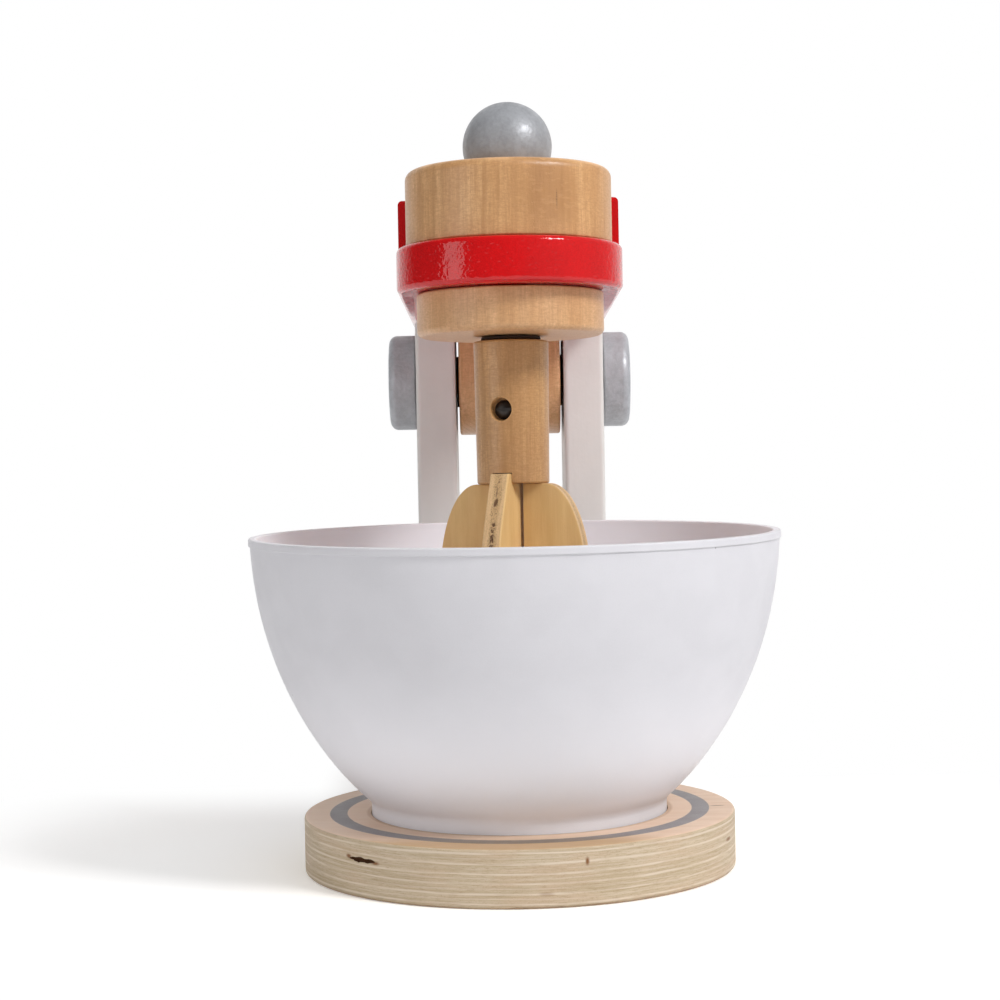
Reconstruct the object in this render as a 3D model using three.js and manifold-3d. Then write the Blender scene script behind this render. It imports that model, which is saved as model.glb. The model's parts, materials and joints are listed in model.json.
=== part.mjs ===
// Toy stand mixer: a wooden stand, a head that tips back, a beater turned by a ball knob, and a loose bowl.
// Millimetres, +Z up, +X to the right, +Y to the back.
// The origin is on the underside of the base board, on the upright axis of the bowl.
import * as THREE from 'three';
import { mergeVertices } from 'three/addons/utils/BufferGeometryUtils.js';
import Module from 'manifold-3d';

const wasm = await Module();
wasm.setup();

// Fits
const seatGap = 0.3; // between pieces that are glued, screwed or resting face to face
const turnGap = 0.5; // round a dowel that turns in its hole
const screwGap = 0.3; // round a screw in its hole
const cutOverrun = 2; // a cutter runs this far past the face that it cuts
const dowelTipRound = 0.8;

// Base board
const baseThickness = 18;
const baseRadius = 69.7;
const baseEdgeRound = 1;
const baseSideMargin = 11; // board left beside the uprights
const baseBackMargin = 10; // board left behind the uprights
const baseCornerRadius = 12;
const baseNeckRadius = 14; // inside round where the tail leaves the round front
const bowlSeatDepth = 1.7;
const bowlSeatGap = 0.6; // round the bowl's foot in its seat

// Bowl
const bowlRimRadius = 85.7;
const bowlHeight = 91.1;
const bowlWall = 2.2;
const bowlLip = 0.5; // the lip stands out this far from the side
const bowlLipHeight = 2.4;
const bowlFootRadius = 48.3;
const bowlFootHeight = 4.7;
const bowlFootWall = 2.6;
const bowlFloorLift = 2.2; // hollow under the floor, inside the foot ring
const bowlLowHandleShares = [0.235, 0.095]; // of the way out and up from foot to rim
const bowlHighHandleShares = [0.939, 0.425];

// Uprights and pivot
const uprightThickness = 14.6;
const uprightEdgeRound = 1.6;
const bowlBackClearance = 13.3; // from the bowl's rim back to the uprights
const pivotDowelRadius = 5;
const pivotBlockRadius = 20;
const pivotBlockWidth = 37;
const pivotBlockEdgeRound = 0.8;
const headDrop = 21.7; // from the head plate's underside down to the pivot
const frictionWasherRadius = 9.5;
const frictionWasherThickness = 0.8;
const knobRadius = 17.7;
const knobThickness = 10;
const knobEdgeRound = 3;
const knobInnerEdgeRound = 0.8;
const knobSocketDepth = 6;

// Head
const headTiltDegrees = 2.1; // the plate's front stands this much high at rest
const plateMargin = 3.2; // the plate's round front stands out this far round the drum
const plateThickness = 14.6;
const plateEdgeRound = 1.8;
const plateBackReach = 25; // behind the pivot
const plateCornerRadius = 9;
const blockHeight = 18;
const blockFrontReach = 17; // the block's front corners are this far behind the beater's axis
const blockDrumGap = 1.3;
const blockDowelRadius = 4;
const blockDowelSink = 9; // into the plate, and as far into the block
const blockDowelSpacing = 34;
const blockDowelReach = 56; // behind the beater's axis

// Drum, ball and collar
const drumRadius = 33.2;
const drumHeight = 24.3;
const drumTopRound = 3;
const drumFootRound = 0.6;
const ballRadius = 14.4;
const ballSink = 6.6; // the ball's lowest point lies this far under the drum's top
const collarRadius = 30.1;
const collarThickness = 13.7;
const collarRound = 2.8;
const collarTopRound = 0.6;

// Spindle and beater
const spindleRadius = 5;
const spindleInBall = 4; // past the ball's centre
const spindleWasherRadius = 9.7;
const spindleWasherThickness = 1.3;
const shaftTopRadius = 12.1;
const shaftFootRadius = 11.6;
const shaftLength = 45.6;
const shaftEdgeRound = 0.7;
const shaftBoreDepth = 32;
const lockHoleDrop = 22; // below the shaft's top
const lockHoleRadius = 3.6;
const lockHoleFloor = 7.2; // the wide part of the hole ends this far from the axis
const beaterTurnDegrees = -19;
const bladeThickness = 6.2;
const bladeSlotDepth = 3.4;
const bladeHalvingGap = 0.7;
const bladeRadius = 24.6;
const bladeUpperHeight = 30.3; // from the widest place up to the top
const bladeLowerHeight = 46.5; // from the widest place down to the tip
const bladeShoulder = 13; // half width taken up by the upper round
const bladeTipRound = 19.5; // half width taken up by the lower round
const bladeFloorClearance = 25.5; // from the bowl's floor up to the blades, which sets the head's height

// Screws: head and shank radii, and lengths
const baseScrewHeadRadius = 4;
const baseScrewShankRadius = 2;
const baseScrewLength = 42;
const baseScrewSink = 0.8; // its head lies this far under the surface
const baseScrewSpacing = 22;
const plateScrewHeadRadius = 4;
const plateScrewShankRadius = 2;
const plateScrewLength = 26;
const plateScrewSink = 0.6;
const plateScrewSpacing = 24;
const screwHeadShare = 0.62; // a screw head's depth, as a share of its radius
const screwTipShare = 1.4; // a screw tip's length, as a share of the shank's radius
const lockScrewHeadRadius = 3.1;
const lockScrewHeadHeight = 2;
const lockScrewShankRadius = 1.5;
const lockScrewLength = 15.5;
const lockScrewSlotWidth = 0.9;
const lockScrewSlotDepth = 0.8;

// Smoothness, as counts
const bowlSides = 48;
const largeSides = 44;
const smallSides = 24;
const screwSides = 12;
const roundSteps = 3;
const smallRoundSteps = 1;
const bowlCurveSteps = 8;
const ballSteps = 11;
const bladeSteps = 8;

// Places worked out from the sizes above
const headTilt = THREE.MathUtils.degToRad(headTiltDegrees);
const beaterTurn = THREE.MathUtils.degToRad(beaterTurnDegrees);
const bowlSeatZ = baseThickness - bowlSeatDepth;
const bowlZ = bowlSeatZ + seatGap;
const bowlFloorZ = bowlZ + bowlFloorLift + bowlWall;
const uprightRadius = headDrop - seatGap;
const uprightFrontY = bowlRimRadius + bowlBackClearance;
const pivotY = uprightFrontY + uprightRadius;
const uprightInnerX = pivotBlockWidth / 2 + seatGap + frictionWasherThickness + seatGap;
const uprightCentreX = uprightInnerX + uprightThickness / 2;
const uprightOuterX = uprightInnerX + uprightThickness;
const knobX = uprightOuterX + seatGap;
const plateHalfWidth = drumRadius + plateMargin;
const plateTop = headDrop + plateThickness;
const beaterReach = (pivotY + plateTop * Math.sin(headTilt)) / Math.cos(headTilt);
const drumZ = plateTop + seatGap;
const ballZ = drumZ + drumHeight - ballSink + ballRadius;
const collarZ = headDrop - seatGap - collarThickness;
const spindleWasherZ = collarZ - seatGap - spindleWasherThickness;
const shaftTopZ = spindleWasherZ - seatGap;
const shaftFootZ = shaftTopZ - shaftLength;
const lockHoleZ = shaftTopZ - lockHoleDrop;
const bladeWidestZ = shaftFootZ - seatGap - bladeUpperHeight;
const bladeTipZ = bladeWidestZ - bladeLowerHeight;
const pivotHeight = bowlFloorZ + bladeFloorClearance
  - beaterReach * Math.sin(headTilt) - bladeTipZ * Math.cos(headTilt);

// Materials
function paint(color, roughness, metalness = 0) {
  return new THREE.MeshStandardMaterial({ color, roughness, metalness });
}

const materials = {
  basePly: () => paint('#dcc6a4', 0.6),
  bowl: () => paint('#e9e6ec', 0.5),
  whitePaint: () => paint('#e6e0df', 0.5),
  silverPaint: () => paint('#9c9ea2', 0.38, 0.35),
  redPaint: () => paint('#d3141a', 0.25),
  beech: () => paint('#cf9f69', 0.5),
  shadedBeech: () => paint('#bd8358', 0.55),
  bladePly: () => paint('#d9b06c', 0.55),
  steel: () => paint('#55504c', 0.4, 0.9),
  darkRubber: () => paint('#1f1c1b', 0.7),
};

// A closed geometry as a solid that can be joined and cut
function toSolid(geometry) {
  const bare = geometry.clone();
  bare.deleteAttribute('normal');
  bare.deleteAttribute('uv');
  const merged = mergeVertices(bare);
  const index = merged.index.array;
  const triangles = [];
  for (let i = 0; i < index.length; i += 3) {
    const [a, b, c] = [index[i], index[i + 1], index[i + 2]];
    if (a !== b && b !== c && c !== a) {
      triangles.push(a, b, c);
    }
  }
  return new wasm.Manifold(new wasm.Mesh({
    numProp: 3,
    vertProperties: new Float32Array(merged.attributes.position.array),
    triVerts: new Uint32Array(triangles),
  }));
}

function toGeometry(solid) {
  const mesh = solid.getMesh();
  const geometry = new THREE.BufferGeometry();
  geometry.setAttribute('position', new THREE.BufferAttribute(new Float32Array(mesh.vertProperties), 3));
  geometry.setIndex(new THREE.BufferAttribute(new Uint32Array(mesh.triVerts), 1));
  return geometry;
}

function cut(geometry, cutters) {
  let solid = toSolid(geometry);
  for (const cutter of cutters) {
    solid = solid.subtract(toSolid(cutter));
  }
  return toGeometry(solid);
}

// Turned and sawn shapes
function point(r, z) {
  return new THREE.Vector2(r, z);
}

// Revolves a profile of radius and height points, listed from the bottom up, about +Z
function turned(profile, sides) {
  const geometry = new THREE.LatheGeometry(profile, sides);
  geometry.rotateX(Math.PI / 2);
  return geometry;
}

// Points along an arc of a circle or an ellipse
function arc(x, y, radius, start, end, steps, radiusUp = radius) {
  const points = [];
  for (let i = 0; i <= steps; i += 1) {
    const angle = start + (end - start) * (i / steps);
    points.push(point(x + radius * Math.cos(angle), y + radiusUp * Math.sin(angle)));
  }
  return points;
}

// A disc or rod standing on z = 0, with its bottom and top edges rounded
function disc(radii, height, rounds, sides, steps) {
  const [footRadius, topRadius] = radii;
  const [footRound, topRound] = rounds;
  return turned([
    point(0, 0),
    ...arc(footRadius - footRound, footRound, footRound, -Math.PI / 2, 0, steps[0]),
    ...arc(topRadius - topRound, height - topRound, topRound, 0, Math.PI / 2, steps[1]),
    point(0, height),
  ], sides);
}

// A dowel from one height to another, with its tips rounded
function dowelRod(radius, low, high) {
  const geometry = disc(
    [radius, radius], high - low, [dowelTipRound, dowelTipRound], smallSides,
    [smallRoundSteps, smallRoundSteps],
  );
  return moved(geometry, 0, 0, low);
}

// A plain cylinder from one height to another, used as a rod or a cutter
function rod(radius, low, high, sides) {
  return turned([point(0, low), point(radius, low), point(radius, high), point(0, high)], sides);
}

// A flat ring standing on z = 0
function ring(innerRadius, outerRadius, height, sides) {
  return turned([
    point(innerRadius, 0),
    point(outerRadius, 0),
    point(outerRadius, height),
    point(innerRadius, height),
    point(innerRadius, 0),
  ], sides);
}

// A board sawn to an outline of points in x and y, standing on z = 0, with its edges rounded
function board(outline, thickness, edgeRound, edgeSteps = 1) {
  const geometry = new THREE.ExtrudeGeometry(new THREE.Shape(outline), {
    depth: thickness - 2 * edgeRound,
    bevelEnabled: edgeRound > 0,
    bevelThickness: edgeRound,
    bevelSize: edgeRound,
    bevelOffset: -edgeRound,
    bevelSegments: edgeSteps,
  });
  geometry.translate(0, 0, edgeRound);
  return geometry;
}

// Stands a board up: its outline's x and y become y and z, and its thickness is centred on x = 0
function standUp(geometry, thickness) {
  geometry.applyMatrix4(new THREE.Matrix4().makeBasis(
    new THREE.Vector3(0, 1, 0),
    new THREE.Vector3(0, 0, 1),
    new THREE.Vector3(1, 0, 0),
  ));
  geometry.translate(-thickness / 2, 0, 0);
  return geometry;
}

// Lays something that stands on z = 0 down, so that its height runs along +X
function alongX(geometry) {
  geometry.rotateY(Math.PI / 2);
  return geometry;
}

function moved(geometry, x, y, z) {
  geometry.translate(x, y, z);
  return geometry;
}

// A wood screw, its flat head's face at z = 0 and its tip pointing down
function woodScrew(headRadius, shankRadius, length) {
  const headDepth = headRadius * screwHeadShare;
  const tipLength = shankRadius * screwTipShare;
  return turned([
    point(0, -length),
    point(shankRadius, tipLength - length),
    point(shankRadius, -headDepth),
    point(headRadius, 0),
    point(0, 0),
  ], screwSides);
}

// The hole for a wood screw whose face lies at z = 0, with the countersink open upwards
function woodScrewHole(headRadius, shankRadius, length, sink) {
  const headDepth = headRadius * screwHeadShare;
  const wide = headRadius + 2 * screwGap;
  return turned([
    point(0, -length - screwGap),
    point(shankRadius + screwGap, -length - screwGap),
    point(shankRadius + screwGap, -headDepth - screwGap),
    point(wide, 0),
    point(wide, sink + cutOverrun),
    point(0, sink + cutOverrun),
  ], screwSides);
}

// Adds a named mesh to a group
function addPiece(group, name, geometry, material, x = 0, y = 0, z = 0) {
  const mesh = new THREE.Mesh(geometry, material());
  mesh.name = name;
  mesh.position.set(x, y, z);
  group.add(mesh);
  return mesh;
}

// The base board's outline: a round front and a narrower tail, joined by inside rounds
function baseOutline() {
  const tailHalf = uprightOuterX + baseSideMargin;
  const backY = uprightFrontY + 2 * uprightRadius + baseBackMargin;
  const neckX = tailHalf + baseNeckRadius;
  const neckY = Math.sqrt((baseRadius + baseNeckRadius) ** 2 - neckX ** 2);
  const neckAngle = Math.atan2(neckY, neckX);
  const cornerX = tailHalf - baseCornerRadius;
  const cornerY = backY - baseCornerRadius;
  const front = arc(0, 0, baseRadius, Math.PI - neckAngle, 2 * Math.PI + neckAngle, largeSides);
  return [
    ...front.slice(1, -1),
    ...arc(neckX, neckY, baseNeckRadius, Math.PI + neckAngle, Math.PI, roundSteps),
    ...arc(cornerX, cornerY, baseCornerRadius, 0, Math.PI / 2, roundSteps),
    ...arc(-cornerX, cornerY, baseCornerRadius, Math.PI / 2, Math.PI, roundSteps),
    ...arc(-neckX, neckY, baseNeckRadius, 0, -neckAngle, roundSteps),
  ];
}

// The places of the screws under the uprights: both sides, front and back
function baseScrewPlaces() {
  const places = [];
  for (const side of [-1, 1]) {
    for (const end of [-1, 1]) {
      places.push([side * uprightCentreX, pivotY + end * baseScrewSpacing / 2]);
    }
  }
  return places;
}

function baseScrewCutter([x, y]) {
  const hole = woodScrewHole(baseScrewHeadRadius, baseScrewShankRadius, baseScrewLength, baseScrewSink);
  hole.rotateX(Math.PI);
  return moved(hole, x, y, baseScrewSink);
}

function makeBase(group) {
  const seat = rod(bowlFootRadius + bowlSeatGap, bowlSeatZ, baseThickness + cutOverrun, largeSides);
  const holes = baseScrewPlaces().map(baseScrewCutter);
  const body = board(baseOutline(), baseThickness, baseEdgeRound);
  addPiece(group, 'base_board', cut(body, [seat, ...holes]), materials.basePly);
  baseScrewPlaces().forEach(([x, y], i) => {
    const screw = woodScrew(baseScrewHeadRadius, baseScrewShankRadius, baseScrewLength);
    screw.rotateX(Math.PI);
    addPiece(group, `base_screw_${i + 1}`, screw, materials.steel, x, y, baseScrewSink);
  });
}

// The bowl's side from foot to rim as a smooth curve
function bowlSide() {
  const out = bowlRimRadius - bowlLip - bowlFootRadius;
  const up = bowlHeight - bowlLipHeight - bowlFootHeight;
  const handle = ([outShare, upShare]) => (
    point(bowlFootRadius + outShare * out, bowlFootHeight + upShare * up)
  );
  return new THREE.CubicBezierCurve(
    point(bowlFootRadius, bowlFootHeight),
    handle(bowlLowHandleShares),
    handle(bowlHighHandleShares),
    point(bowlFootRadius + out, bowlFootHeight + up),
  );
}

// The inside of the bowl, one wall thickness in from its side
function bowlInside(side) {
  const points = [];
  for (let i = 0; i <= bowlCurveSteps; i += 1) {
    const place = side.getPoint(i / bowlCurveSteps);
    const along = side.getTangent(i / bowlCurveSteps);
    points.push(point(place.x - along.y * bowlWall, place.y + along.x * bowlWall));
  }
  return points.reverse();
}

function makeBowl(group) {
  const side = bowlSide();
  const floor = bowlFloorLift + bowlWall;
  const footInner = bowlFootRadius - bowlFootWall;
  const rimInner = bowlRimRadius - bowlLip - bowlWall;
  const rimRound = bowlLip / 2;
  const profile = [
    point(0, bowlFloorLift),
    point(footInner, bowlFloorLift),
    point(footInner, 0),
    point(bowlFootRadius, 0),
    ...side.getPoints(bowlCurveSteps),
    point(bowlRimRadius, bowlHeight - bowlLipHeight + bowlLip),
    point(bowlRimRadius, bowlHeight - rimRound),
    point(bowlRimRadius - rimRound, bowlHeight),
    point(rimInner + rimRound, bowlHeight),
    point(rimInner, bowlHeight - rimRound),
    ...bowlInside(side),
    point(bowlFootRadius - 2 * bowlWall, floor),
    point(0, floor),
  ];
  addPiece(group, 'bowl', turned(profile, bowlSides), materials.bowl, 0, 0, bowlZ);
}

// An upright's side view, in y from the pivot and z from the table. The top front follows the head plate's
// underside, which rests on it, and the top back is round about the pivot.
function uprightOutline() {
  const foot = baseThickness + seatGap;
  const rise = uprightRadius / Math.cos(headTilt) + uprightRadius * Math.tan(headTilt);
  return [
    point(-uprightRadius, foot),
    point(uprightRadius, foot),
    ...arc(0, pivotHeight, uprightRadius, 0, Math.PI / 2 - headTilt, 3 * roundSteps),
    point(-uprightRadius, pivotHeight + rise),
  ];
}

function makeUpright(group, name, side) {
  const bore = alongX(rod(
    pivotDowelRadius + turnGap,
    -uprightThickness / 2 - cutOverrun,
    uprightThickness / 2 + cutOverrun,
    smallSides,
  ));
  const screws = baseScrewPlaces()
    .filter(([x]) => Math.sign(x) === side)
    .map(([x, y]) => baseScrewCutter([x - side * uprightCentreX, y - pivotY]));
  const body = standUp(board(uprightOutline(), uprightThickness, uprightEdgeRound, 2), uprightThickness);
  const geometry = cut(body, [moved(bore, 0, 0, pivotHeight), ...screws]);
  addPiece(group, name, geometry, materials.whitePaint, side * uprightCentreX, pivotY, 0);
}

// The pieces that turn about the pivot with the head. The group's origin is on the pivot, its z axis
// square to the head plate.
function makePivot(head) {
  const top = headDrop - seatGap;
  const outline = [
    point(pivotBlockRadius, top),
    point(-pivotBlockRadius, top),
    ...arc(0, 0, pivotBlockRadius, Math.PI, 2 * Math.PI, largeSides / 2),
  ];
  const body = standUp(board(outline, pivotBlockWidth, pivotBlockEdgeRound), pivotBlockWidth);
  const half = pivotBlockWidth / 2 + cutOverrun;
  const bore = alongX(rod(pivotDowelRadius + seatGap, -half, half, smallSides));
  const screws = plateScrewPlaces().map(plateScrewCutter);
  addPiece(head, 'pivot_block', cut(body, [bore, ...screws]), materials.shadedBeech);

  const reach = knobX + knobSocketDepth - seatGap;
  const dowel = dowelRod(pivotDowelRadius, -reach, reach);
  addPiece(head, 'pivot_dowel', alongX(dowel), materials.beech);

  for (const [name, side] of [['left', -1], ['right', 1]]) {
    const washer = alongX(moved(
      ring(pivotDowelRadius + seatGap, frictionWasherRadius, frictionWasherThickness, smallSides),
      0, 0, -frictionWasherThickness / 2,
    ));
    const washerX = pivotBlockWidth / 2 + seatGap + frictionWasherThickness / 2;
    addPiece(head, `${name}_washer`, washer, materials.darkRubber, side * washerX, 0, 0);
    const knobBody = disc(
      [knobRadius, knobRadius], knobThickness, [knobInnerEdgeRound, knobEdgeRound], largeSides,
      [smallRoundSteps, roundSteps],
    );
    const socket = rod(pivotDowelRadius + seatGap, -cutOverrun, knobSocketDepth, smallSides);
    const knob = cut(knobBody, [socket]);
    alongX(knob);
    if (side < 0) {
      knob.rotateZ(Math.PI);
    }
    addPiece(head, `${name}_knob`, knob, materials.silverPaint, side * knobX, 0, 0);
  }
}

// The places of the screws that hold the plate on the pivot block, in front of and behind the dowel
function plateScrewPlaces() {
  return [-1, 1].map((end) => [0, end * plateScrewSpacing / 2]);
}

function plateScrewCutter([x, y]) {
  const hole = woodScrewHole(plateScrewHeadRadius, plateScrewShankRadius, plateScrewLength, plateScrewSink);
  return moved(hole, x, y, plateTop - plateScrewSink);
}

function blockDowelPlaces() {
  return [-1, 1].map((side) => [side * blockDowelSpacing / 2, blockDowelReach - beaterReach]);
}

// The head plate's outline, in x and y from the pivot
function plateOutline() {
  const cornerX = plateHalfWidth - plateCornerRadius;
  const cornerY = plateBackReach - plateCornerRadius;
  return [
    ...arc(0, -beaterReach, plateHalfWidth, Math.PI, 2 * Math.PI, largeSides / 2),
    ...arc(cornerX, cornerY, plateCornerRadius, 0, Math.PI / 2, roundSteps),
    ...arc(-cornerX, cornerY, plateCornerRadius, Math.PI / 2, Math.PI, roundSteps),
  ];
}

// The red block's outline: as wide as the plate, with a hollow front that follows the drum
function blockOutline() {
  const cornerX = plateHalfWidth - plateCornerRadius;
  const cornerY = plateBackReach - plateCornerRadius;
  const frontY = blockFrontReach - beaterReach;
  const hollowRadius = drumRadius + blockDrumGap;
  const hollowAngle = Math.asin(blockFrontReach / hollowRadius);
  return [
    point(plateHalfWidth, frontY),
    ...arc(cornerX, cornerY, plateCornerRadius, 0, Math.PI / 2, roundSteps),
    ...arc(-cornerX, cornerY, plateCornerRadius, Math.PI / 2, Math.PI, roundSteps),
    point(-plateHalfWidth, frontY),
    ...arc(0, -beaterReach, hollowRadius, Math.PI - hollowAngle, hollowAngle, largeSides / 3),
  ];
}

function makeHead(head) {
  const spindleBore = moved(
    rod(spindleRadius + turnGap, headDrop - cutOverrun, plateTop + cutOverrun, smallSides),
    0, -beaterReach, 0,
  );
  const screwHoles = plateScrewPlaces().map(plateScrewCutter);
  const dowelLow = plateTop - blockDowelSink;
  const dowelHigh = plateTop + blockDowelSink;
  const dowelHoles = () => blockDowelPlaces().map(([x, y]) => moved(
    rod(blockDowelRadius + seatGap, dowelLow - seatGap, dowelHigh + seatGap, screwSides),
    x, y, 0,
  ));
  const plate = moved(board(plateOutline(), plateThickness, plateEdgeRound, 2), 0, 0, headDrop);
  addPiece(head, 'head_plate', cut(plate, [spindleBore, ...screwHoles, ...dowelHoles()]), materials.redPaint);
  plateScrewPlaces().forEach(([x, y], i) => {
    const screw = woodScrew(plateScrewHeadRadius, plateScrewShankRadius, plateScrewLength);
    addPiece(head, `plate_screw_${i + 1}`, screw, materials.steel, x, y, plateTop - plateScrewSink);
  });
  blockDowelPlaces().forEach(([x, y], i) => {
    const dowel = rod(blockDowelRadius, dowelLow, dowelHigh, screwSides);
    addPiece(head, `block_dowel_${i + 1}`, dowel, materials.beech, x, y, 0);
  });
  const block = moved(board(blockOutline(), blockHeight, plateEdgeRound, 2), 0, 0, plateTop + seatGap);
  addPiece(head, 'head_block', cut(block, dowelHoles()), materials.redPaint);
}

// A ball as a turned shape about its own centre
function ball(radius) {
  const profile = arc(0, 0, radius, -Math.PI / 2, Math.PI / 2, ballSteps);
  profile[0].x = 0;
  profile[ballSteps].x = 0;
  return turned(profile, 2 * ballSteps + 2);
}

// The drum and the collar, glued to the plate round the spindle
function makeDrumAndCollar(head) {
  const bore = () => rod(spindleRadius + turnGap, -cutOverrun, drumHeight + cutOverrun, smallSides);
  const dish = moved(ball(ballRadius + turnGap), 0, 0, ballZ - drumZ);
  const drum = disc(
    [drumRadius, drumRadius], drumHeight, [drumFootRound, drumTopRound], largeSides,
    [smallRoundSteps, roundSteps],
  );
  addPiece(head, 'drum', cut(drum, [bore(), dish]), materials.beech, 0, -beaterReach, drumZ);
  const collar = disc(
    [collarRadius, collarRadius], collarThickness, [collarRound, collarTopRound], largeSides,
    [roundSteps, smallRoundSteps],
  );
  addPiece(head, 'collar', cut(collar, [bore()]), materials.beech, 0, -beaterReach, collarZ);
}

// The beater's own group stands on its axis, turned so that the lock screw and blade_a face its -Y
function makeSpindle(beater) {
  const foot = shaftTopZ - shaftBoreDepth + seatGap;
  const top = ballZ + spindleInBall;
  const crossHole = rod(lockScrewShankRadius + screwGap, -shaftTopRadius, shaftTopRadius, screwSides);
  crossHole.rotateX(Math.PI / 2);
  const spindle = cut(dowelRod(spindleRadius, foot, top), [moved(crossHole, 0, 0, lockHoleZ)]);
  addPiece(beater, 'spindle', spindle, materials.beech);

  const socket = rod(spindleRadius + seatGap, -ballRadius - cutOverrun, spindleInBall + seatGap, smallSides);
  addPiece(beater, 'ball_knob', cut(ball(ballRadius), [socket]), materials.silverPaint, 0, 0, ballZ);

  const washer = ring(spindleRadius + turnGap, spindleWasherRadius, spindleWasherThickness, smallSides);
  addPiece(beater, 'spindle_washer', washer, materials.darkRubber, 0, 0, spindleWasherZ);
}

// The shaft, bored from above for the spindle, crossed by the lock screw's hole and slotted for blade_a
function makeShaft(beater) {
  const body = disc(
    [shaftFootRadius, shaftTopRadius], shaftLength, [shaftEdgeRound, shaftEdgeRound], largeSides,
    [smallRoundSteps, smallRoundSteps],
  );
  const bore = rod(spindleRadius + seatGap, shaftLength - shaftBoreDepth, shaftLength + cutOverrun, smallSides);
  const wideHole = rod(lockHoleRadius, lockHoleFloor, shaftTopRadius + cutOverrun, smallSides);
  wideHole.rotateX(Math.PI / 2);
  const screwEnd = lockScrewLength - lockHoleFloor - seatGap;
  const narrowHole = rod(lockScrewShankRadius + screwGap, -screwEnd - screwGap, shaftTopRadius, screwSides);
  narrowHole.rotateX(Math.PI / 2);
  const slotWidth = bladeThickness + 2 * seatGap;
  const slot = new THREE.BoxGeometry(slotWidth, 2 * (shaftFootRadius + cutOverrun), 2 * bladeSlotDepth);
  const shaft = cut(body, [
    bore,
    moved(wideHole, 0, 0, lockHoleZ - shaftFootZ),
    moved(narrowHole, 0, 0, lockHoleZ - shaftFootZ),
    slot,
  ]);
  addPiece(beater, 'beater_shaft', shaft, materials.beech, 0, 0, shaftFootZ);

  const screw = turned([
    point(0, -lockScrewLength),
    point(lockScrewShankRadius, -lockScrewLength),
    point(lockScrewShankRadius, 0),
    point(lockScrewHeadRadius, 0),
    point(lockScrewHeadRadius, lockScrewHeadHeight - lockScrewSlotDepth),
    point(lockScrewHeadRadius - lockScrewSlotDepth, lockScrewHeadHeight),
    point(0, lockScrewHeadHeight),
  ], smallSides / 2);
  const slotLength = 2 * (lockScrewHeadRadius + cutOverrun);
  const driverSlot = new THREE.BoxGeometry(slotLength, lockScrewSlotWidth, 2 * lockScrewSlotDepth);
  const lockScrew = cut(screw, [moved(driverSlot, 0, 0, lockScrewHeadHeight)]);
  lockScrew.rotateX(Math.PI / 2);
  addPiece(beater, 'lock_screw', lockScrew, materials.steel, 0, -lockHoleFloor - seatGap, lockHoleZ);
}

// A blade's outline: on each side an upper and a lower round that meet at the widest place
function bladeOutline() {
  const upperX = bladeRadius - bladeShoulder;
  const lowerX = bladeRadius - bladeTipRound;
  const half = Math.PI / 2;
  return [
    ...arc(upperX, 0, bladeShoulder, 0, half, bladeSteps, bladeUpperHeight),
    ...arc(-upperX, 0, bladeShoulder, half, 2 * half, bladeSteps, bladeUpperHeight),
    ...arc(-lowerX, 0, bladeTipRound, 2 * half, 3 * half, bladeSteps, bladeLowerHeight).slice(1),
    ...arc(lowerX, 0, bladeTipRound, 3 * half, 4 * half, bladeSteps, bladeLowerHeight).slice(0, -1),
  ];
}

function bladeBody() {
  return standUp(board(bladeOutline(), bladeThickness, 0), bladeThickness);
}

// The slot that halves a blade where the other passes, from the middle up or down
function halvingSlot(direction) {
  const slotWidth = bladeThickness + 2 * bladeHalvingGap;
  const length = bladeUpperHeight + bladeLowerHeight;
  const middle = (bladeUpperHeight - bladeLowerHeight) / 2;
  const overlapGap = seatGap / 2;
  const slot = new THREE.BoxGeometry(bladeThickness + 2 * cutOverrun, slotWidth, length);
  return moved(slot, 0, 0, middle + direction * (length / 2 - overlapGap));
}

function makeBlades(beater) {
  const tongueWidth = 2 * (shaftFootRadius - seatGap);
  const tongueLength = bladeSlotDepth + bladeUpperHeight;
  const tongue = moved(
    new THREE.BoxGeometry(bladeThickness, tongueWidth, tongueLength),
    0, 0, tongueLength / 2,
  );
  const bladeA = toSolid(bladeBody()).add(toSolid(tongue)).subtract(toSolid(halvingSlot(-1)));
  addPiece(beater, 'blade_a', toGeometry(bladeA), materials.bladePly, 0, 0, bladeWidestZ);
  const bladeB = cut(bladeBody(), [halvingSlot(1)]);
  bladeB.rotateZ(Math.PI / 2);
  addPiece(beater, 'blade_b', bladeB, materials.bladePly, 0, 0, bladeWidestZ);
}

// Assembly
const mixer = new THREE.Group();
makeBase(mixer);
makeBowl(mixer);
makeUpright(mixer, 'left_upright', -1);
makeUpright(mixer, 'right_upright', 1);

const head = new THREE.Group();
head.position.set(0, pivotY, pivotHeight);
head.rotation.x = -headTilt;
mixer.add(head);
makePivot(head);
makeHead(head);
makeDrumAndCollar(head);

const beater = new THREE.Group();
beater.position.set(0, -beaterReach, 0);
beater.rotation.z = beaterTurn;
head.add(beater);
makeSpindle(beater);
makeShaft(beater);
makeBlades(beater);

export default mixer;
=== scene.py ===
import json
from math import asin, atan2, cos, dist, hypot, pi, radians, sin, sqrt

import bmesh
import bpy
from bpy.props import FloatProperty, FloatVectorProperty, IntProperty, PointerProperty
from bpy.types import Operator, Panel, PropertyGroup
from mathutils import Matrix, Vector


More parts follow.
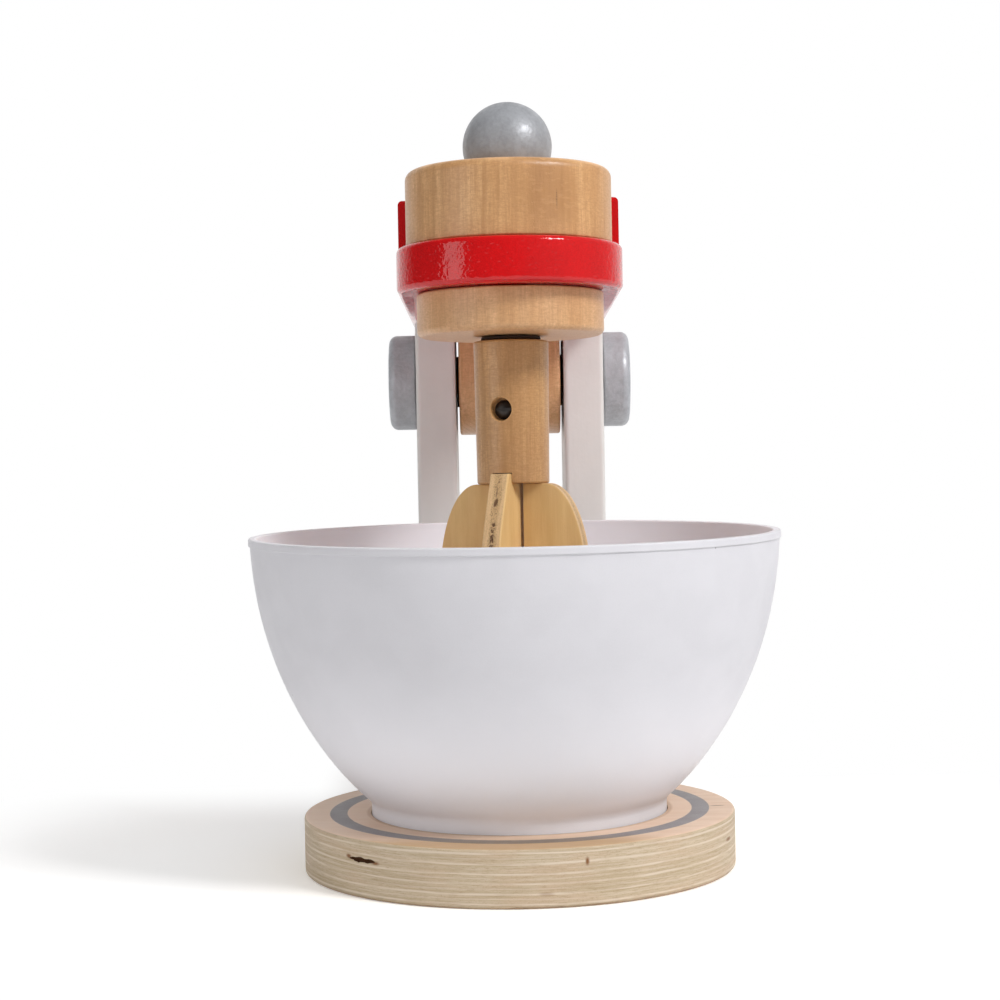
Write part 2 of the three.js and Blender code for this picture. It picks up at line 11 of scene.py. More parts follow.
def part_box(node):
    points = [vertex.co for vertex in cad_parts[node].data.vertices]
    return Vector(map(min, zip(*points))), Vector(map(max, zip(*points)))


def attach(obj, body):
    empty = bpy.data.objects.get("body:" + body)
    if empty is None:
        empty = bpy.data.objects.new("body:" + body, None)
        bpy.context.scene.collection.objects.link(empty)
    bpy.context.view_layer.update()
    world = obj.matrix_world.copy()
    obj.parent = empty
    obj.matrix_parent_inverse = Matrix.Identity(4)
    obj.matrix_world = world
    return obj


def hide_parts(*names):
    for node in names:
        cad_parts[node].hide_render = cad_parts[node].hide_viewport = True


bl_info = {
    "name": "Toy stand mixer",
    "version": (1, 0, 0),
    "blender": (4, 5, 0),
    "location": "3D View > Sidebar > Mixer",
    "description": "Builds a wooden toy stand mixer piece by piece on its packed frame",
    "category": "Add Mesh",
}

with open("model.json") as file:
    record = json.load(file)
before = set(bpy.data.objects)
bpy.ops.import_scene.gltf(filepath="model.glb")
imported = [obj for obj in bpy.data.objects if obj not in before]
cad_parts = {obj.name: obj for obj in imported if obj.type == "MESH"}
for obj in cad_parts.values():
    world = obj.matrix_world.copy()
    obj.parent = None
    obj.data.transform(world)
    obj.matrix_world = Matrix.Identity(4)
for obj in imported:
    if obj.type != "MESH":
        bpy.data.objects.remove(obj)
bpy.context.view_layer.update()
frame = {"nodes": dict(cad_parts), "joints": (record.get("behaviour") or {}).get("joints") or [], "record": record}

MM = 0.001
SEAT_GAP = 0.3 * MM  # what the solids leave between pieces that touch
TURN_GAP = 0.5 * MM  # play round a piece that turns
OVERRUN = 2 * MM  # how far a cutter runs past a face
SHADE_HOLD = 0.25 * MM  # a narrow band of faces beside each rounded edge keeps the flats flat
SHARP_FROM = radians(34)  # edges that turn more than this are shaded sharp
SIDES, FINE_SIDES, SMALL_SIDES = 160, 256, 48

BODY_OF = {
    node: body
    for body, nodes in frame["record"]["behaviour"]["bodies"].items()
    for node in nodes
}


# Places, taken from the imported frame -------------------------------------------


def joint(name):
    return next(j for j in frame["joints"] if j["name"] == name)


PIVOT = Vector(joint("head_tilt")["pos_m"])
BEATER_AXIS = Vector(joint("beater_spin")["axis"])
TILT = atan2(BEATER_AXIS.y, BEATER_AXIS.z)
BEATER_TURN = radians(-19)

WORLD = Matrix.Identity(4)
# The head's own frame: origin on the pivot, z square to the head plate
HEAD = Matrix.Translation(PIVOT) @ Matrix.Rotation(-TILT, 4, "X")
REACH = -(HEAD.inverted() @ Vector(joint("beater_spin")["pos_m"])).y
SPIN = HEAD @ Matrix.Translation((0, -REACH, 0))
BEATER = SPIN @ Matrix.Rotation(BEATER_TURN, 4, "Z")
CROSS = BEATER @ Matrix.Rotation(pi / 2, 4, "Z")

BASE_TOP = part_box("base_board")[1].z
BASE_RADIUS = -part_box("base_board")[0].x
BASE_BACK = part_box("base_board")[1].y
BOWL_LOW, BOWL_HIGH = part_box("bowl")
BOWL_RIM = BOWL_HIGH.x
BLOCK_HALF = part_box("pivot_block")[1].x
UPRIGHT_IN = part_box("right_upright")[0].x
UPRIGHT_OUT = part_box("right_upright")[1].x
UPRIGHT_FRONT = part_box("right_upright")[0].y
UPRIGHT_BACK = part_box("right_upright")[1].y
KNOB_IN, KNOB_OUT = (corner.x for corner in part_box("right_knob"))
WASHER_IN, WASHER_OUT = (corner.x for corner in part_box("right_washer"))
KNOB_RADIUS = (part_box("right_knob")[1].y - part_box("right_knob")[0].y) / 2
PLATE_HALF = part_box("head_plate")[1].x
DRUM_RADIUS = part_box("drum")[1].x
COLLAR_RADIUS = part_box("collar")[1].x

# Sizes of the head and the beater. Heights are measured in the head's frame, from the pivot
HEAD_DROP = 21.7 * MM
PLATE_THICKNESS, HEAD_BLOCK_THICKNESS = 14.6 * MM, 18 * MM
PLATE_TOP = HEAD_DROP + PLATE_THICKNESS
HEAD_CORNER, HEAD_BACK = 9 * MM, 25 * MM
DRUM_Z, DRUM_HEIGHT = PLATE_TOP + SEAT_GAP, 24.3 * MM
BALL_Z, BALL_RADIUS = 68.7 * MM, 14.4 * MM
COLLAR_Z, COLLAR_HEIGHT = 7.7 * MM, 13.7 * MM
SPINDLE_WASHER_Z = 6.35 * MM
SHAFT_TOP_Z, SHAFT_FOOT_Z = 5.8 * MM, -39.8 * MM
SHAFT_TOP_RADIUS, SHAFT_FOOT_RADIUS = 12.1 * MM, 11.6 * MM
SHAFT_BORE_DEPTH = 32 * MM
LOCK_Z = -16.2 * MM
LOCK_SEAT, LOCK_HOLE_END = 7.2 * MM, -8 * MM  # along the cross hole, from the beater's axis
BLADE_Z = -70.4 * MM
PIVOT_BLOCK_RADIUS = 20 * MM

# The spindle and the pivot dowel are equally thick
SPINDLE_RADIUS = 5 * MM
TIGHT_BORE, FREE_BORE = SPINDLE_RADIUS + SEAT_GAP, SPINDLE_RADIUS + TURN_GAP

BOWL_SEAT_RADIUS, BOWL_SEAT_Z = 48.15 * MM, 16.3 * MM
VOID_TURN, VOID_Z, VOID_REACH = radians(-134.2), 11.75 * MM, 5.6 * MM

# Wood screws: radius of the head and of the shank, length, and how deep the head is sunk
BASE_SCREW, BASE_SINK = (4 * MM, 2 * MM, 42 * MM), 0.8 * MM
PLATE_SCREW, PLATE_SINK = (4 * MM, 2 * MM, 26 * MM), 0.6 * MM
SCREW_HEAD_DEPTH = 0.62  # of the head's radius
BASE_SCREWS = [
    (side * (UPRIGHT_IN + UPRIGHT_OUT) / 2, PIVOT.y + end * 11 * MM)
    for side in (-1, 1) for end in (-1, 1)
]


# Settings ----------------------------------------------------------------------


def length(name, description, default):
    return FloatProperty(
        name=name, description=description, default=default, min=0.0, precision=5,
        unit="LENGTH", subtype="DISTANCE",
    )


def linear(code):
    """A six digit web colour as linear red, green and blue."""
    parts = [int(code[i:i + 2], 16) / 255 for i in (0, 2, 4)]
    return tuple(c / 12.92 if c <= 0.04045 else ((c + 0.055) / 1.055) ** 2.4 for c in parts)


def colour(name, description, code):
    return FloatVectorProperty(
        name=name, description=description, default=linear(code), size=3, min=0.0, max=1.0,
        subtype="COLOR",
    )


def level(name, description, default, unit="NONE"):
    return FloatProperty(name=name, description=description, default=default, min=0.0, unit=unit)


class MixerSizes(PropertyGroup):
    """Roundings and small sizes that the frame leaves free."""

    base_round: length("Base edge", "Sanded edge round the base board", 1.0 * MM)
    ring_inner: length("Ring inside", "Inner radius of the printed ring", 55.8 * MM)
    ring_outer: length("Ring outside", "Outer radius of the printed ring", 61.4 * MM)
    ply_count: IntProperty(name="Plies", description="Plies in the base board", default=13, min=3)
    bowl_wall: length("Bowl wall", "Wall of the bowl", 2.2 * MM)
    bowl_foot_round: length("Foot fillet", "Soft inside corner above the foot ring", 1.5 * MM)
    upright_round: length("Upright edge", "Rounded edge of the uprights", 1.6 * MM)
    block_round: length("Block edge", "Edge of the pivot block", 0.8 * MM)
    knob_round: length("Knob edge", "Outer edge of the side knobs", 3.0 * MM)
    plate_round: length("Plate edge", "Edge of the head plate and block", 1.8 * MM)
    drum_round: length("Drum edge", "Top edge of the drum", 3.0 * MM)
    collar_round: length("Collar edge", "Lower edge of the collar", 1.9 * MM)
    shaft_round: length("Shaft edge", "Edges of the beater's shaft", 0.7 * MM)
    blade_round: length("Blade edge", "Sanded edges of the blades", 0.3 * MM)


class MixerColours(PropertyGroup):
    """Colours of the finishes."""

    base_wood: colour("Base wood", "Pale plies of the base board", "cdbca3")
    base_top: colour("Base top", "Face veneer of the base board", "e4cab4")
    ring_print: colour("Ring", "Grey ring on the base board", "8c8a8e")
    bowl: colour("Bowl", "Plastic of the bowl", "d9d8dd")
    white: colour("White", "Paint of the uprights", "e0dcd9")
    silver: colour("Silver", "Paint of the ball and the side knobs", "b5b7bc")
    red: colour("Red", "Paint of the head", "cb1619")
    drum_wood: colour("Drum wood", "Turned drum on the head", "d2a676")
    collar_wood: colour("Collar wood", "Turned collar under the head", "d8ae82")
    shaft_wood: colour("Shaft wood", "Beater's shaft and the dowels", "c39866")
    # Painted light: paler than the other turned wood, standing in for the fill light that reaches the block
    # between the uprights
    block_wood_painted_light: colour("Block wood", "Pivot block", "dcb185")
    blade_wood: colour("Blade wood", "Face of the blades", "e5c084")
    blade_edge: colour("Blade edge", "Edges of the blades", "dbb88a")
    dark: colour("Washers", "Rubber of the washers", "3a2e27")
    steel: colour("Screws", "Plated screws", "66615e")


class MixerStage(PropertyGroup):
    """Light and backdrop."""

    room: level("Room", "Even light from all round", 0.33)
    dim: level("Dim side", "How bright a gloss sees the room in front", 0.03)
    right_side: level("Right side", "How much brighter a gloss sees it on the right", 0.27)
    main: level("Main lamp", "Power, right and high", 15.4, "POWER")
    top: level("Top lamp", "Power, overhead", 5.7, "POWER")
    back: level("Back lamp", "Power, right and behind", 1.1, "POWER")
    rear: level("Rear lamp", "Power, left and behind", 2.4, "POWER")
    front: level("Front lamp", "Power, in front and low", 1.45, "POWER")
    window: level("Window lamp", "Power, small and left", 1.8, "POWER")
    floor_lift: level("Floor lift", "What the floor adds for the camera", 0.22)


# Shading -----------------------------------------------------------------------


class Wire:
    """An output of a shader node. Arithmetic on it adds the Math nodes that work it out."""

    def __init__(self, tree, socket):
        self.tree = tree
        self.socket = socket

    def also(self, name):
        """Another output of the same node."""
        return Wire(self.tree, self.socket.node.outputs[name])

    def math(self, operation, *values):
        return self.tree.add("ShaderNodeMath", {"operation": operation}, dict(enumerate(values)))

    def __add__(self, other):
        return self.math("ADD", self, other)

    def __radd__(self, other):
        return self.math("ADD", other, self)

    def __sub__(self, other):
        return self.math("SUBTRACT", self, other)

    def __rsub__(self, other):
        return self.math("SUBTRACT", other, self)

    def __mul__(self, other):
        return self.math("MULTIPLY", self, other)

    def __rmul__(self, other):
        return self.math("MULTIPLY", other, self)

    def __truediv__(self, other):
        return self.math("DIVIDE", self, other)

    def __pow__(self, other):
        return self.math("POWER", self, other)

    def __lt__(self, other):
        return self.math("LESS_THAN", self, other)

    def __abs__(self):
        return self.math("ABSOLUTE", self)


MIX_FACTOR, MIX_FIRST, MIX_SECOND, MIX_RESULT = 0, 6, 7, 2  # the colour sockets of a Mix node


class Tree:
    """The shader nodes of a material or of the world."""

    def __init__(self, owner):
        owner.use_nodes = True
        self.owner = owner
        self.nodes = owner.node_tree.nodes
        self.links = owner.node_tree.links
        self.nodes.clear()

    def add(self, kind, settings=None, sockets=None, output=0):
        """Adds a node: its settings first, then the values or links of its sockets."""
        node = self.nodes.new(kind)
        for name, value in (settings or {}).items():
            setattr(node, name, value)
        for name, value in (sockets or {}).items():
            if isinstance(value, Wire):
                self.links.new(value.socket, node.inputs[name])
            else:
                node.inputs[name].default_value = value
        return Wire(self, node.outputs[output])

    def vector(self, operation, *values, output=0):
        settings = {"operation": operation}
        return self.add("ShaderNodeVectorMath", settings, dict(enumerate(values)), output)

    def split(self, vector):
        x = self.add("ShaderNodeSeparateXYZ", None, {0: vector}, "X")
        return x, x.also("Y"), x.also("Z")

    def ease(self, value, low, high):
        """0 below low, 1 above high, smooth between them."""
        return self.add("ShaderNodeMapRange", {"interpolation_type": "SMOOTHSTEP"}, {
            "Value": value, "From Min": low, "From Max": high, "To Min": 0.0, "To Max": 1.0,
        })

    def wave(self, value):
        return value.math("SINE", value)

    def most(self, *values):
        """The largest of some values."""
        largest = values[0]
        for value in values[1:]:
            largest = largest.math("MAXIMUM", largest, value)
        return largest

    def blend(self, factor, first, second):
        """A value between two others."""
        return (1 - factor) * first + factor * second

    def mix(self, factor, first, second, blend="MIX"):
        """A colour between two others."""
        sockets = {MIX_FACTOR: factor}
        for place, value in ((MIX_FIRST, first), (MIX_SECOND, second)):
            sockets[place] = value if isinstance(value, Wire) else (*value[:3], 1)
        settings = {"data_type": "RGBA", "blend_type": blend}
        return self.add("ShaderNodeMix", settings, sockets, MIX_RESULT)

    def coats(self, colour, *layers):
        """A colour with others laid over it, each given as its mask and its colour."""
        for mask, paint in layers:
            colour = self.mix(mask, colour, paint)
        return colour

    def seen(self):
        """1 for what the lens, a gloss or a clear piece sees, 0 for light on the object."""
        camera = self.add("ShaderNodeLightPath", output="Is Camera Ray")
        return self.most(camera, camera.also("Is Glossy Ray"), camera.also("Is Transmission Ray"))

    def spot(self, across, along, soft=0.4):
        """1 inside an ellipse whose two coordinates are given in its own half widths."""
        return self.ease((across ** 2 + along ** 2) ** 0.5, 1.0, 1.0 - soft)

    def end(self, surface, kind="ShaderNodeOutputMaterial"):
        output = self.nodes.new(kind)
        self.links.new(surface.socket, output.inputs["Surface"])
        return self.owner


class Finish(Tree):
    """A material that is drawn in millimetres, in a piece's own frame."""

    def __init__(self, name, place=WORLD):
        super().__init__(bpy.data.materials.new(name))
        self.here = self.add("ShaderNodeMapping", {"vector_type": "TEXTURE"}, {
            "Vector": self.add("ShaderNodeTexCoord", output="Object"),
            "Location": place.to_translation(),
            "Rotation": place.to_euler(),
            "Scale": (MM, MM, MM),
        })

    def facing(self, direction):
        """How squarely the surface faces a direction, either way: 1 is square to it."""
        normal = self.add("ShaderNodeTexCoord", output="Normal")
        return abs(self.vector("DOT_PRODUCT", normal, tuple(direction), output="Value"))

    def scaled(self, size, seed):
        return self.vector("MULTIPLY_ADD", self.here, tuple(1 / s for s in size), seed)

    def noise(self, size, detail=2, rough=0.5, seed=(0, 0, 0)):
        """Noise whose features measure size millimetres along x, y and z."""
        return self.add("ShaderNodeTexNoise", None, {
            "Vector": self.scaled(size, seed), "Scale": 1, "Detail": detail, "Roughness": rough,
        })

    def cloud(self, size, low, high, *rest):
        """The same noise, eased from 0 at low to 1 at high."""
        return self.ease(self.noise(size, *rest), low, high)

    def cells(self, size, seed):
        """Distance to scattered points, in cells of size millimetres."""
        sockets = {"Vector": self.scaled(size, seed), "Scale": 1}
        return self.add("ShaderNodeTexVoronoi", None, sockets, "Distance")

    def bump(self, height, depth):
        """A normal from a height of 0 to 1 that stands for depth millimetres."""
        sockets = {"Height": height, "Distance": depth * MM, "Strength": 1.0}
        return self.add("ShaderNodeBump", None, sockets)

    def done(self, base, roughness, normal, specular=0.5, metallic=0.0):
        """Ends the tree in a Principled shader."""
        return self.end(self.add("ShaderNodeBsdfPrincipled", None, {
            "Base Color": base, "Roughness": roughness, "Normal": normal,
            "Specular IOR Level": specular, "Metallic": metallic,
        }))


def shade(code, *factors):
    """A colour times one factor, or times one each for red, green and blue."""
    return tuple(part * factor for part, factor in zip(code, factors * 3))


# Tints that don't follow a piece's own colour, in linear red, green and blue: stains, and some painted shadow and
# shade
DRUM_STAIN = (0.56, 0.45, 0.30)
EDGE_STAIN = (0.24, 0.10, 0.034)
KNOT_BROWN = (0.17, 0.075, 0.03)
# Painted shadow: a dark line on the top round the bowl's seat, where the foot meets the board
SEAT_SHADOW_BROWN = (0.36, 0.17, 0.055)
# Painted shadow: the printed ring where the bowl's shadow falls on it
PRINT_IN_BOWL_SHADOW = (0.20, 0.145, 0.095)
GRIT_BROWN = (0.12, 0.06, 0.03)
# Open pits in the blade plies: dark broken wood, and partly painted shade inside them
PIT_SHADE_BROWN = (0.13, 0.060, 0.026)
# Inside a ply gap: brown broken wood, darkened further as painted shade
VOID_SHADE_DARK, VOID_BROWN = (0.055, 0.022, 0.010), (0.16, 0.075, 0.035)

# Stains and streaks on a front: x, z, half width, half height and strength, in millimetres
DRUM_MARKS = (
    (-27.6, 48, 1.6, 19, 0.50), (-23.4, 50, 1.0, 17, 0.45), (-7.4, 48, 1.3, 22, 0.50),
    (-3.2, 52, 0.9, 14, 0.45), (2.0, 48, 0.8, 16, 0.30), (12.5, 49, 12.0, 20.0, 0.85),
    (14.8, 47.5, 0.40, 4.2, 1.0), (6.2, 50, 0.8, 9, 0.4), (18.5, 47, 1.0, 12, 0.7),
)
SHAFT_MARKS = ((-6.5, -12, 1.4, 34, 0.45), (3.5, -20, 0.6, 16, 0.40), (1.0, -33, 1.6, 9, 0.40))
EDGE_STAINS = (
    (-52.6, 12.3, 1.2, 1.0, 1.0), (-44.2, 11.4, 1.8, 0.8, 1.0), (19.3, 13.5, 0.85, 1.8, 1.0),
    (65.3, 11.2, 1.3, 0.9, 0.9), (7.0, 4.4, 3.2, 1.0, 0.35),
)
CRACK_WIDTH, STREAK_WIDTH = 0.4, 3.0  # a narrower mark is a dark crack, a wider one a stain


def turned_wood(name, place, base, seed, dark=1.0, marks=(), chatter=None, lip=None, rim=None):
    """Close-grained turned wood, its grain along z: bands, streaks, fibres, pores and fine grain.

    chatter is the place of some tool marks, lip the place and reach of a bruised edge round a hole,
    and rim the height of an edge that gets a painted highlight: a lighter band along it, broken up by noise.
    """
    f = Finish(name, place)
    x, y, z = f.split(f.here)
    other = (seed[2], seed[0], seed[1])
    drift = f.noise((16, 16, 60), 2, 0.5, seed)
    band = f.cloud((6.5, 6.5, 120), 0.36, 0.62, 2, 0.5, other)
    streak = f.cloud((2, 2, 46), 0.42, 0.68, 3, 0.6, seed)
    fibre = f.cloud((0.5, 0.5, 7), 0.34, 0.66, 3, 0.6, other)
    grain = f.cloud((0.5, 0.5, 0.62), 0.38, 0.62, 2, 0.6, seed)
    hair = f.cloud((0.75, 0.75, 17), 0.48, 0.62, 2, 0.6, seed)
    pore = f.cloud((0.3, 0.3, 1.3), 0.58, 0.70, 2, 0.6, other)
    end = f.ease(f.facing(place.col[2][:3]), 0.60, 0.90)
    side = 1.0 - end
    fleck = f.cloud((1.9, 1.9, 0.42), 0.40, 0.62, 2, 0.6, seed) * side
    worn = f.cloud((3.2, 3.2, 1.2), 0.54, 0.66, 2, 0.6, other) * side
    from_heart = ((x - 16) ** 2 + (y + 25) ** 2) ** 0.5 + f.noise((9, 9, 90), 2, 0.5, other) * 5.0
    year = f.ease(f.wave(from_heart * 3.6), 0.30, 1.0) * end
    patch = f.cloud((9, 9, 13), 0.38, 0.64, 2, 0.5, other)

    deep = shade(base, 0.70, 0.58, 0.44)
    colour = f.coats(
        shade(base, 1.19),
        (band * (0.80 - end * 0.5), shade(base, 0.97, 0.87, 0.74)),
        (streak * (0.42 - end * 0.34) * dark, deep),
        (year * 0.32 + end * 0.08, deep),
        (patch * (0.30 - end * 0.2), shade(base, 0.94, 0.84, 0.78)),
    )
    front = y < 0
    for across, up, half, tall, strength in marks:
        wander = x - across + (drift - 0.5) * 2.0
        mark = f.spot(wander / half, (z - up) / tall, 0.75) * front * strength
        if half > STREAK_WIDTH:
            colour = f.mix(mark, colour, DRUM_STAIN, "MULTIPLY")
        else:
            colour = f.mix(mark, colour, shade(deep, 0.95 if half > CRACK_WIDTH else 0.3))
    colour = f.coats(
        colour,
        (hair * 0.34 * side, deep), (fibre * 0.24, deep), (fleck * 0.38, deep),
        (worn * 0.15, shade(base, 1.20)), (grain * 0.24, deep), (pore * 0.34, shade(deep, 0.80)),
    )
    height = fibre * 0.30 + grain * 0.30 + fleck * 0.25 - pore * 0.5
    if chatter:
        across, up, half, tall = chatter
        ripple = f.cloud((2.6, 2.6, 0.5), 0.44, 0.62, 1, 0.5, seed)
        ripple = ripple * f.spot((x - across) / half, (z - up) / tall, 0.8) * front
        colour = f.mix(ripple * 0.46, colour, deep)
        height = height - ripple * 0.1
    if lip:
        across, up, reach = lip
        ring = f.spot((x - across) / reach, (z - up) / reach, 0.25) * front
        colour = f.mix(ring * 0.5, colour, shade(base, 1.25))
    if rim is not None:
        # Painted highlight: a lighter band along the rim, broken up by noise
        rim_highlight = f.ease(abs(z - rim), 1.7, 0.5) * f.ease(drift + worn * 0.2, 0.42, 0.62)
        colour = f.mix(rim_highlight * 0.65, colour, shade(base, 1.35))
    rough = 0.30 + fibre * 0.06 + grain * 0.05 + fleck * 0.06
    return f.done(colour, rough, f.bump(height, 0.04), specular=0.7)


def base_plywood(sizes, colours):
    """Birch plywood: pale face veneer on top, plies on the edge, a printed ring and small knots."""
    f = Finish("base_plywood_lacquer")
    x, y, z = f.split(f.here)
    top = f.ease(f.facing((0, 0, 1)), 0.62, 0.86)

    # Edge: a thin pale ply between broader dull bands, all of it streaked along the board
    period = 2 * BASE_TOP / MM / (sizes.ply_count - 1)
    level = z + f.noise((26, 26, 3)) * 1.1 - 0.55
    turn = level * (2 * pi / period)
    pale = f.ease(f.wave(turn - pi / 2), 0.62, 1.0)
    faint = f.ease(f.wave(turn * 2 + pi / 2), 0.5, 1.0)
    streak = f.cloud((8, 8, 0.28), 0.36, 0.64, 3, 0.65)
    long_streak = f.cloud((36, 36, 0.85), 0.36, 0.64)
    dash = f.cloud((2.4, 2.4, 0.22), 0.52, 0.68, 2, 0.6, (3, 8, 1))
    speck = f.cloud((0.5, 0.5, 0.3), 0.54, 0.72, 2, 0.6)
    patch = f.cloud((22, 22, 4), 0.42, 0.66)
    broken = f.cloud((14, 14, 1.2), 0.36, 0.58, 2, 0.5, (9, 2, 4))
    wood = colours.base_wood
    brown = shade(wood, 0.66, 0.55, 0.44)
    cream = shade(wood, 1.20, 1.24, 1.36)
    edge = f.coats(
        shade(wood, 1.06),
        (streak * 0.42 + long_streak * 0.46, shade(wood, 0.77, 0.71, 0.60)),
        (patch * 0.55, shade(wood, 0.97, 0.87, 0.82)),
        (dash * 0.50, brown),
        (speck * 0.38, brown),
        (faint * broken * 0.34, cream),
        (pale * (broken * 0.50 + 0.30), cream),
    )
    for across, up, half, tall, strength in EDGE_STAINS:
        stain = f.spot((x - across) / half, (z - up) / tall, 0.8) * (y < 0)
        edge = f.mix(stain * strength, edge, EDGE_STAIN)
    # Painted shadow: the edge darkens towards the board's foot, where it meets the floor
    edge_foot_shadow = f.ease(z + streak * 0.5, 1.15, 0.30)
    edge = f.mix(edge_foot_shadow * 0.75, edge, shade(wood, 0.38, 0.27, 0.17))

    # Face veneer: broad soft figure along x, with painted shadow in front and round the bowl's seat, and painted
    # light at the left end
    veneer = colours.base_top
    figure = f.cloud((38, 3.4, 9), 0.36, 0.66, 3, 0.55)
    fine = f.cloud((9, 0.34, 3), 0.36, 0.66, 2, 0.6)
    pores = f.cloud((0.9, 0.3, 0.9), 0.54, 0.70, 2, 0.6)
    blush = f.cloud((24, 16, 9), 0.40, 0.66)
    # Painted shadow: front marks the top in front of the bowl, where its shadow falls, fading out to the right
    front = f.ease(y, -45, -60) * f.ease(x, 52, 26)
    knot = f.spot((x - 64) / 3.0, (y - 0.12 * (x - 64) + 2.4) / 0.6)
    from_axis = (x ** 2 + y ** 2) ** 0.5
    dull = shade(veneer, 0.80, 0.70, 0.58)
    face = f.coats(
        shade(veneer, 1.04),
        (figure * 0.30 + fine * 0.22, dull),
        (blush * 0.35, shade(veneer, 1.0, 0.90, 0.88)),
        (pores * 0.22, dull),
        # painted shadow of the bowl on the top
        (front, shade(veneer, 0.70, 0.61, 0.45)),
        # painted light: the left end of the top is made lighter
        (f.ease(x, -44, -62) * 0.6, shade(veneer, 1.2)),
        (knot * 0.8, KNOT_BROWN),
        # painted shadow round the bowl's seat
        (f.ease(from_axis, 50.0, 48.9) * 0.75, SEAT_SHADOW_BROWN),
        (f.ease(from_axis, 56.5, 55.5) * 0.4, shade(veneer, 1.12)),
    )

    # Printed ring, with the grain showing through a little and the bowl's painted shadow over its front
    ragged = f.cloud((0.6, 0.6, 0.6), 0.34, 0.66)
    radius = from_axis + ragged * 0.10 - 0.05
    inner, outer = sizes.ring_inner / MM, sizes.ring_outer / MM
    ring = f.ease(radius, inner - 0.12, inner + 0.12) * f.ease(radius, outer + 0.12, outer - 0.12)
    printed = f.coats(
        shade(colours.ring_print, 1.08),
        (fine * 0.4 + ragged * 0.4, shade(colours.ring_print, 0.80)),
        # painted shadow of the bowl over the ring's front
        (front * 0.7, PRINT_IN_BOWL_SHADOW),
    )
    colour = f.mix(top, edge, f.mix(ring * 0.94, face, printed))
    height = f.blend(
        top, streak * 0.35 - dash * 0.4 - speck * 0.3, fine * 0.2 - pores * 0.3 + ring * 0.3,
    )
    return f.done(colour, 0.50 + streak * 0.1, f.bump(height, 0.045), specular=0.38)


def blade_plywood(name, place, colours, seed, pits):
    """Plywood blade: veneer with upright grain on its faces, five plies on its edges."""
    f = Finish(name, place)
    x, y, z = f.split(f.here)
    z = z - BLADE_Z / MM
    face_on = f.ease(f.facing(place.to_3x3() @ Vector((1, 0, 0))), 0.75, 0.92)
    wood, pale = colours.blade_wood, colours.blade_edge
    figure = f.cloud((4, 4.5, 48), 0.36, 0.66, 3, 0.55, seed)
    fibre = f.cloud((0.5, 0.5, 9), 0.34, 0.66, 3, 0.6, seed)
    patch = f.cloud((8, 8, 20), 0.40, 0.66, 2, 0.5, seed)
    tick = f.cloud((0.34, 0.34, 0.9), 0.58, 0.72, 2, 0.6, seed)
    brown = shade(wood, 0.78, 0.66, 0.50)
    face = f.coats(
        shade(wood, 1.03),
        (figure * 0.30 + fibre * 0.10, brown),
        (patch * 0.40, shade(wood, 0.93, 0.85, 0.84)),
        (tick * 0.16, brown),
    )

    # Edge: coarse end grain down the middle between plies that run along the edge, with open pits painted dark,
    # partly as painted shade, and a painted highlight along one face's corner
    dim = shade(pale, 0.72, 0.66, 0.56)
    across = f.ease(abs(x + (figure - 0.5) * 0.5), 1.75, 0.95)
    grit = f.noise((0.30, 0.36, 0.42), 3, 0.65, seed)
    along = f.cloud((0.34, 6, 6), 0.38, 0.66, 2, 0.6, seed)
    middle = f.ease(abs(x), 0.80, 0.35)
    gap = f.noise((0.9, 0.9, 1.1), 2, 0.6, seed)
    broken = f.ease(gap, 0.47, 0.56) * f.ease(abs(z - 13.5), 5.2, 4.0) * pits
    hole = f.spot((x + 0.1) / 0.85, (z - 24.6 - x * 0.8) / 1.6, 0.5) * pits
    slot = f.spot((x + 0.15) / 0.32, (z - 27.6) / 2.4, 0.9) * 0.7 * pits
    # pit: open gaps in the plies, painted dark; the darkness is partly painted shade inside the gaps
    pit = f.most(middle * broken, hole, slot) * (y < 0) + middle * f.ease(gap, 0.62, 0.68) * 0.5
    edge = f.coats(
        shade(pale, 1.04),
        (along * 0.34, dim),
        (across * 0.50, dim),
        (f.ease(grit, 0.50, 0.62) * (across * 0.50 + 0.28), shade(dim, 0.55)),
        (f.ease(grit, 0.60, 0.70) * (across * 0.50 + 0.10), GRIT_BROWN),
        # painted highlight: a lighter line where the edge meets the face veneer on one side
        (f.ease(x, 2.35, 2.75) * 0.75, shade(wood, 1.12)),
        (pit * 0.88, PIT_SHADE_BROWN),
    )
    height = f.blend(face_on, grit * 0.8 + along * 0.2 - pit * 3, fibre * 0.3 - tick * 0.3)
    colour = f.mix(face_on, edge, face)
    return f.done(colour, 0.46 + fibre * 0.1, f.bump(height, 0.07), specular=0.4)


def void_wood():
    """The broken wood inside a gap of the plies: its own brown, darkened further as painted shade for the depth of
    the gap.
    """
    f = Finish("void_dark_wood")
    grain = f.noise((0.8, 0.8, 0.3), 3, 0.7)
    colour = f.mix(grain, VOID_SHADE_DARK, VOID_BROWN)
    return f.done(colour, 0.85, f.bump(grain, 0.2), specular=0.2)


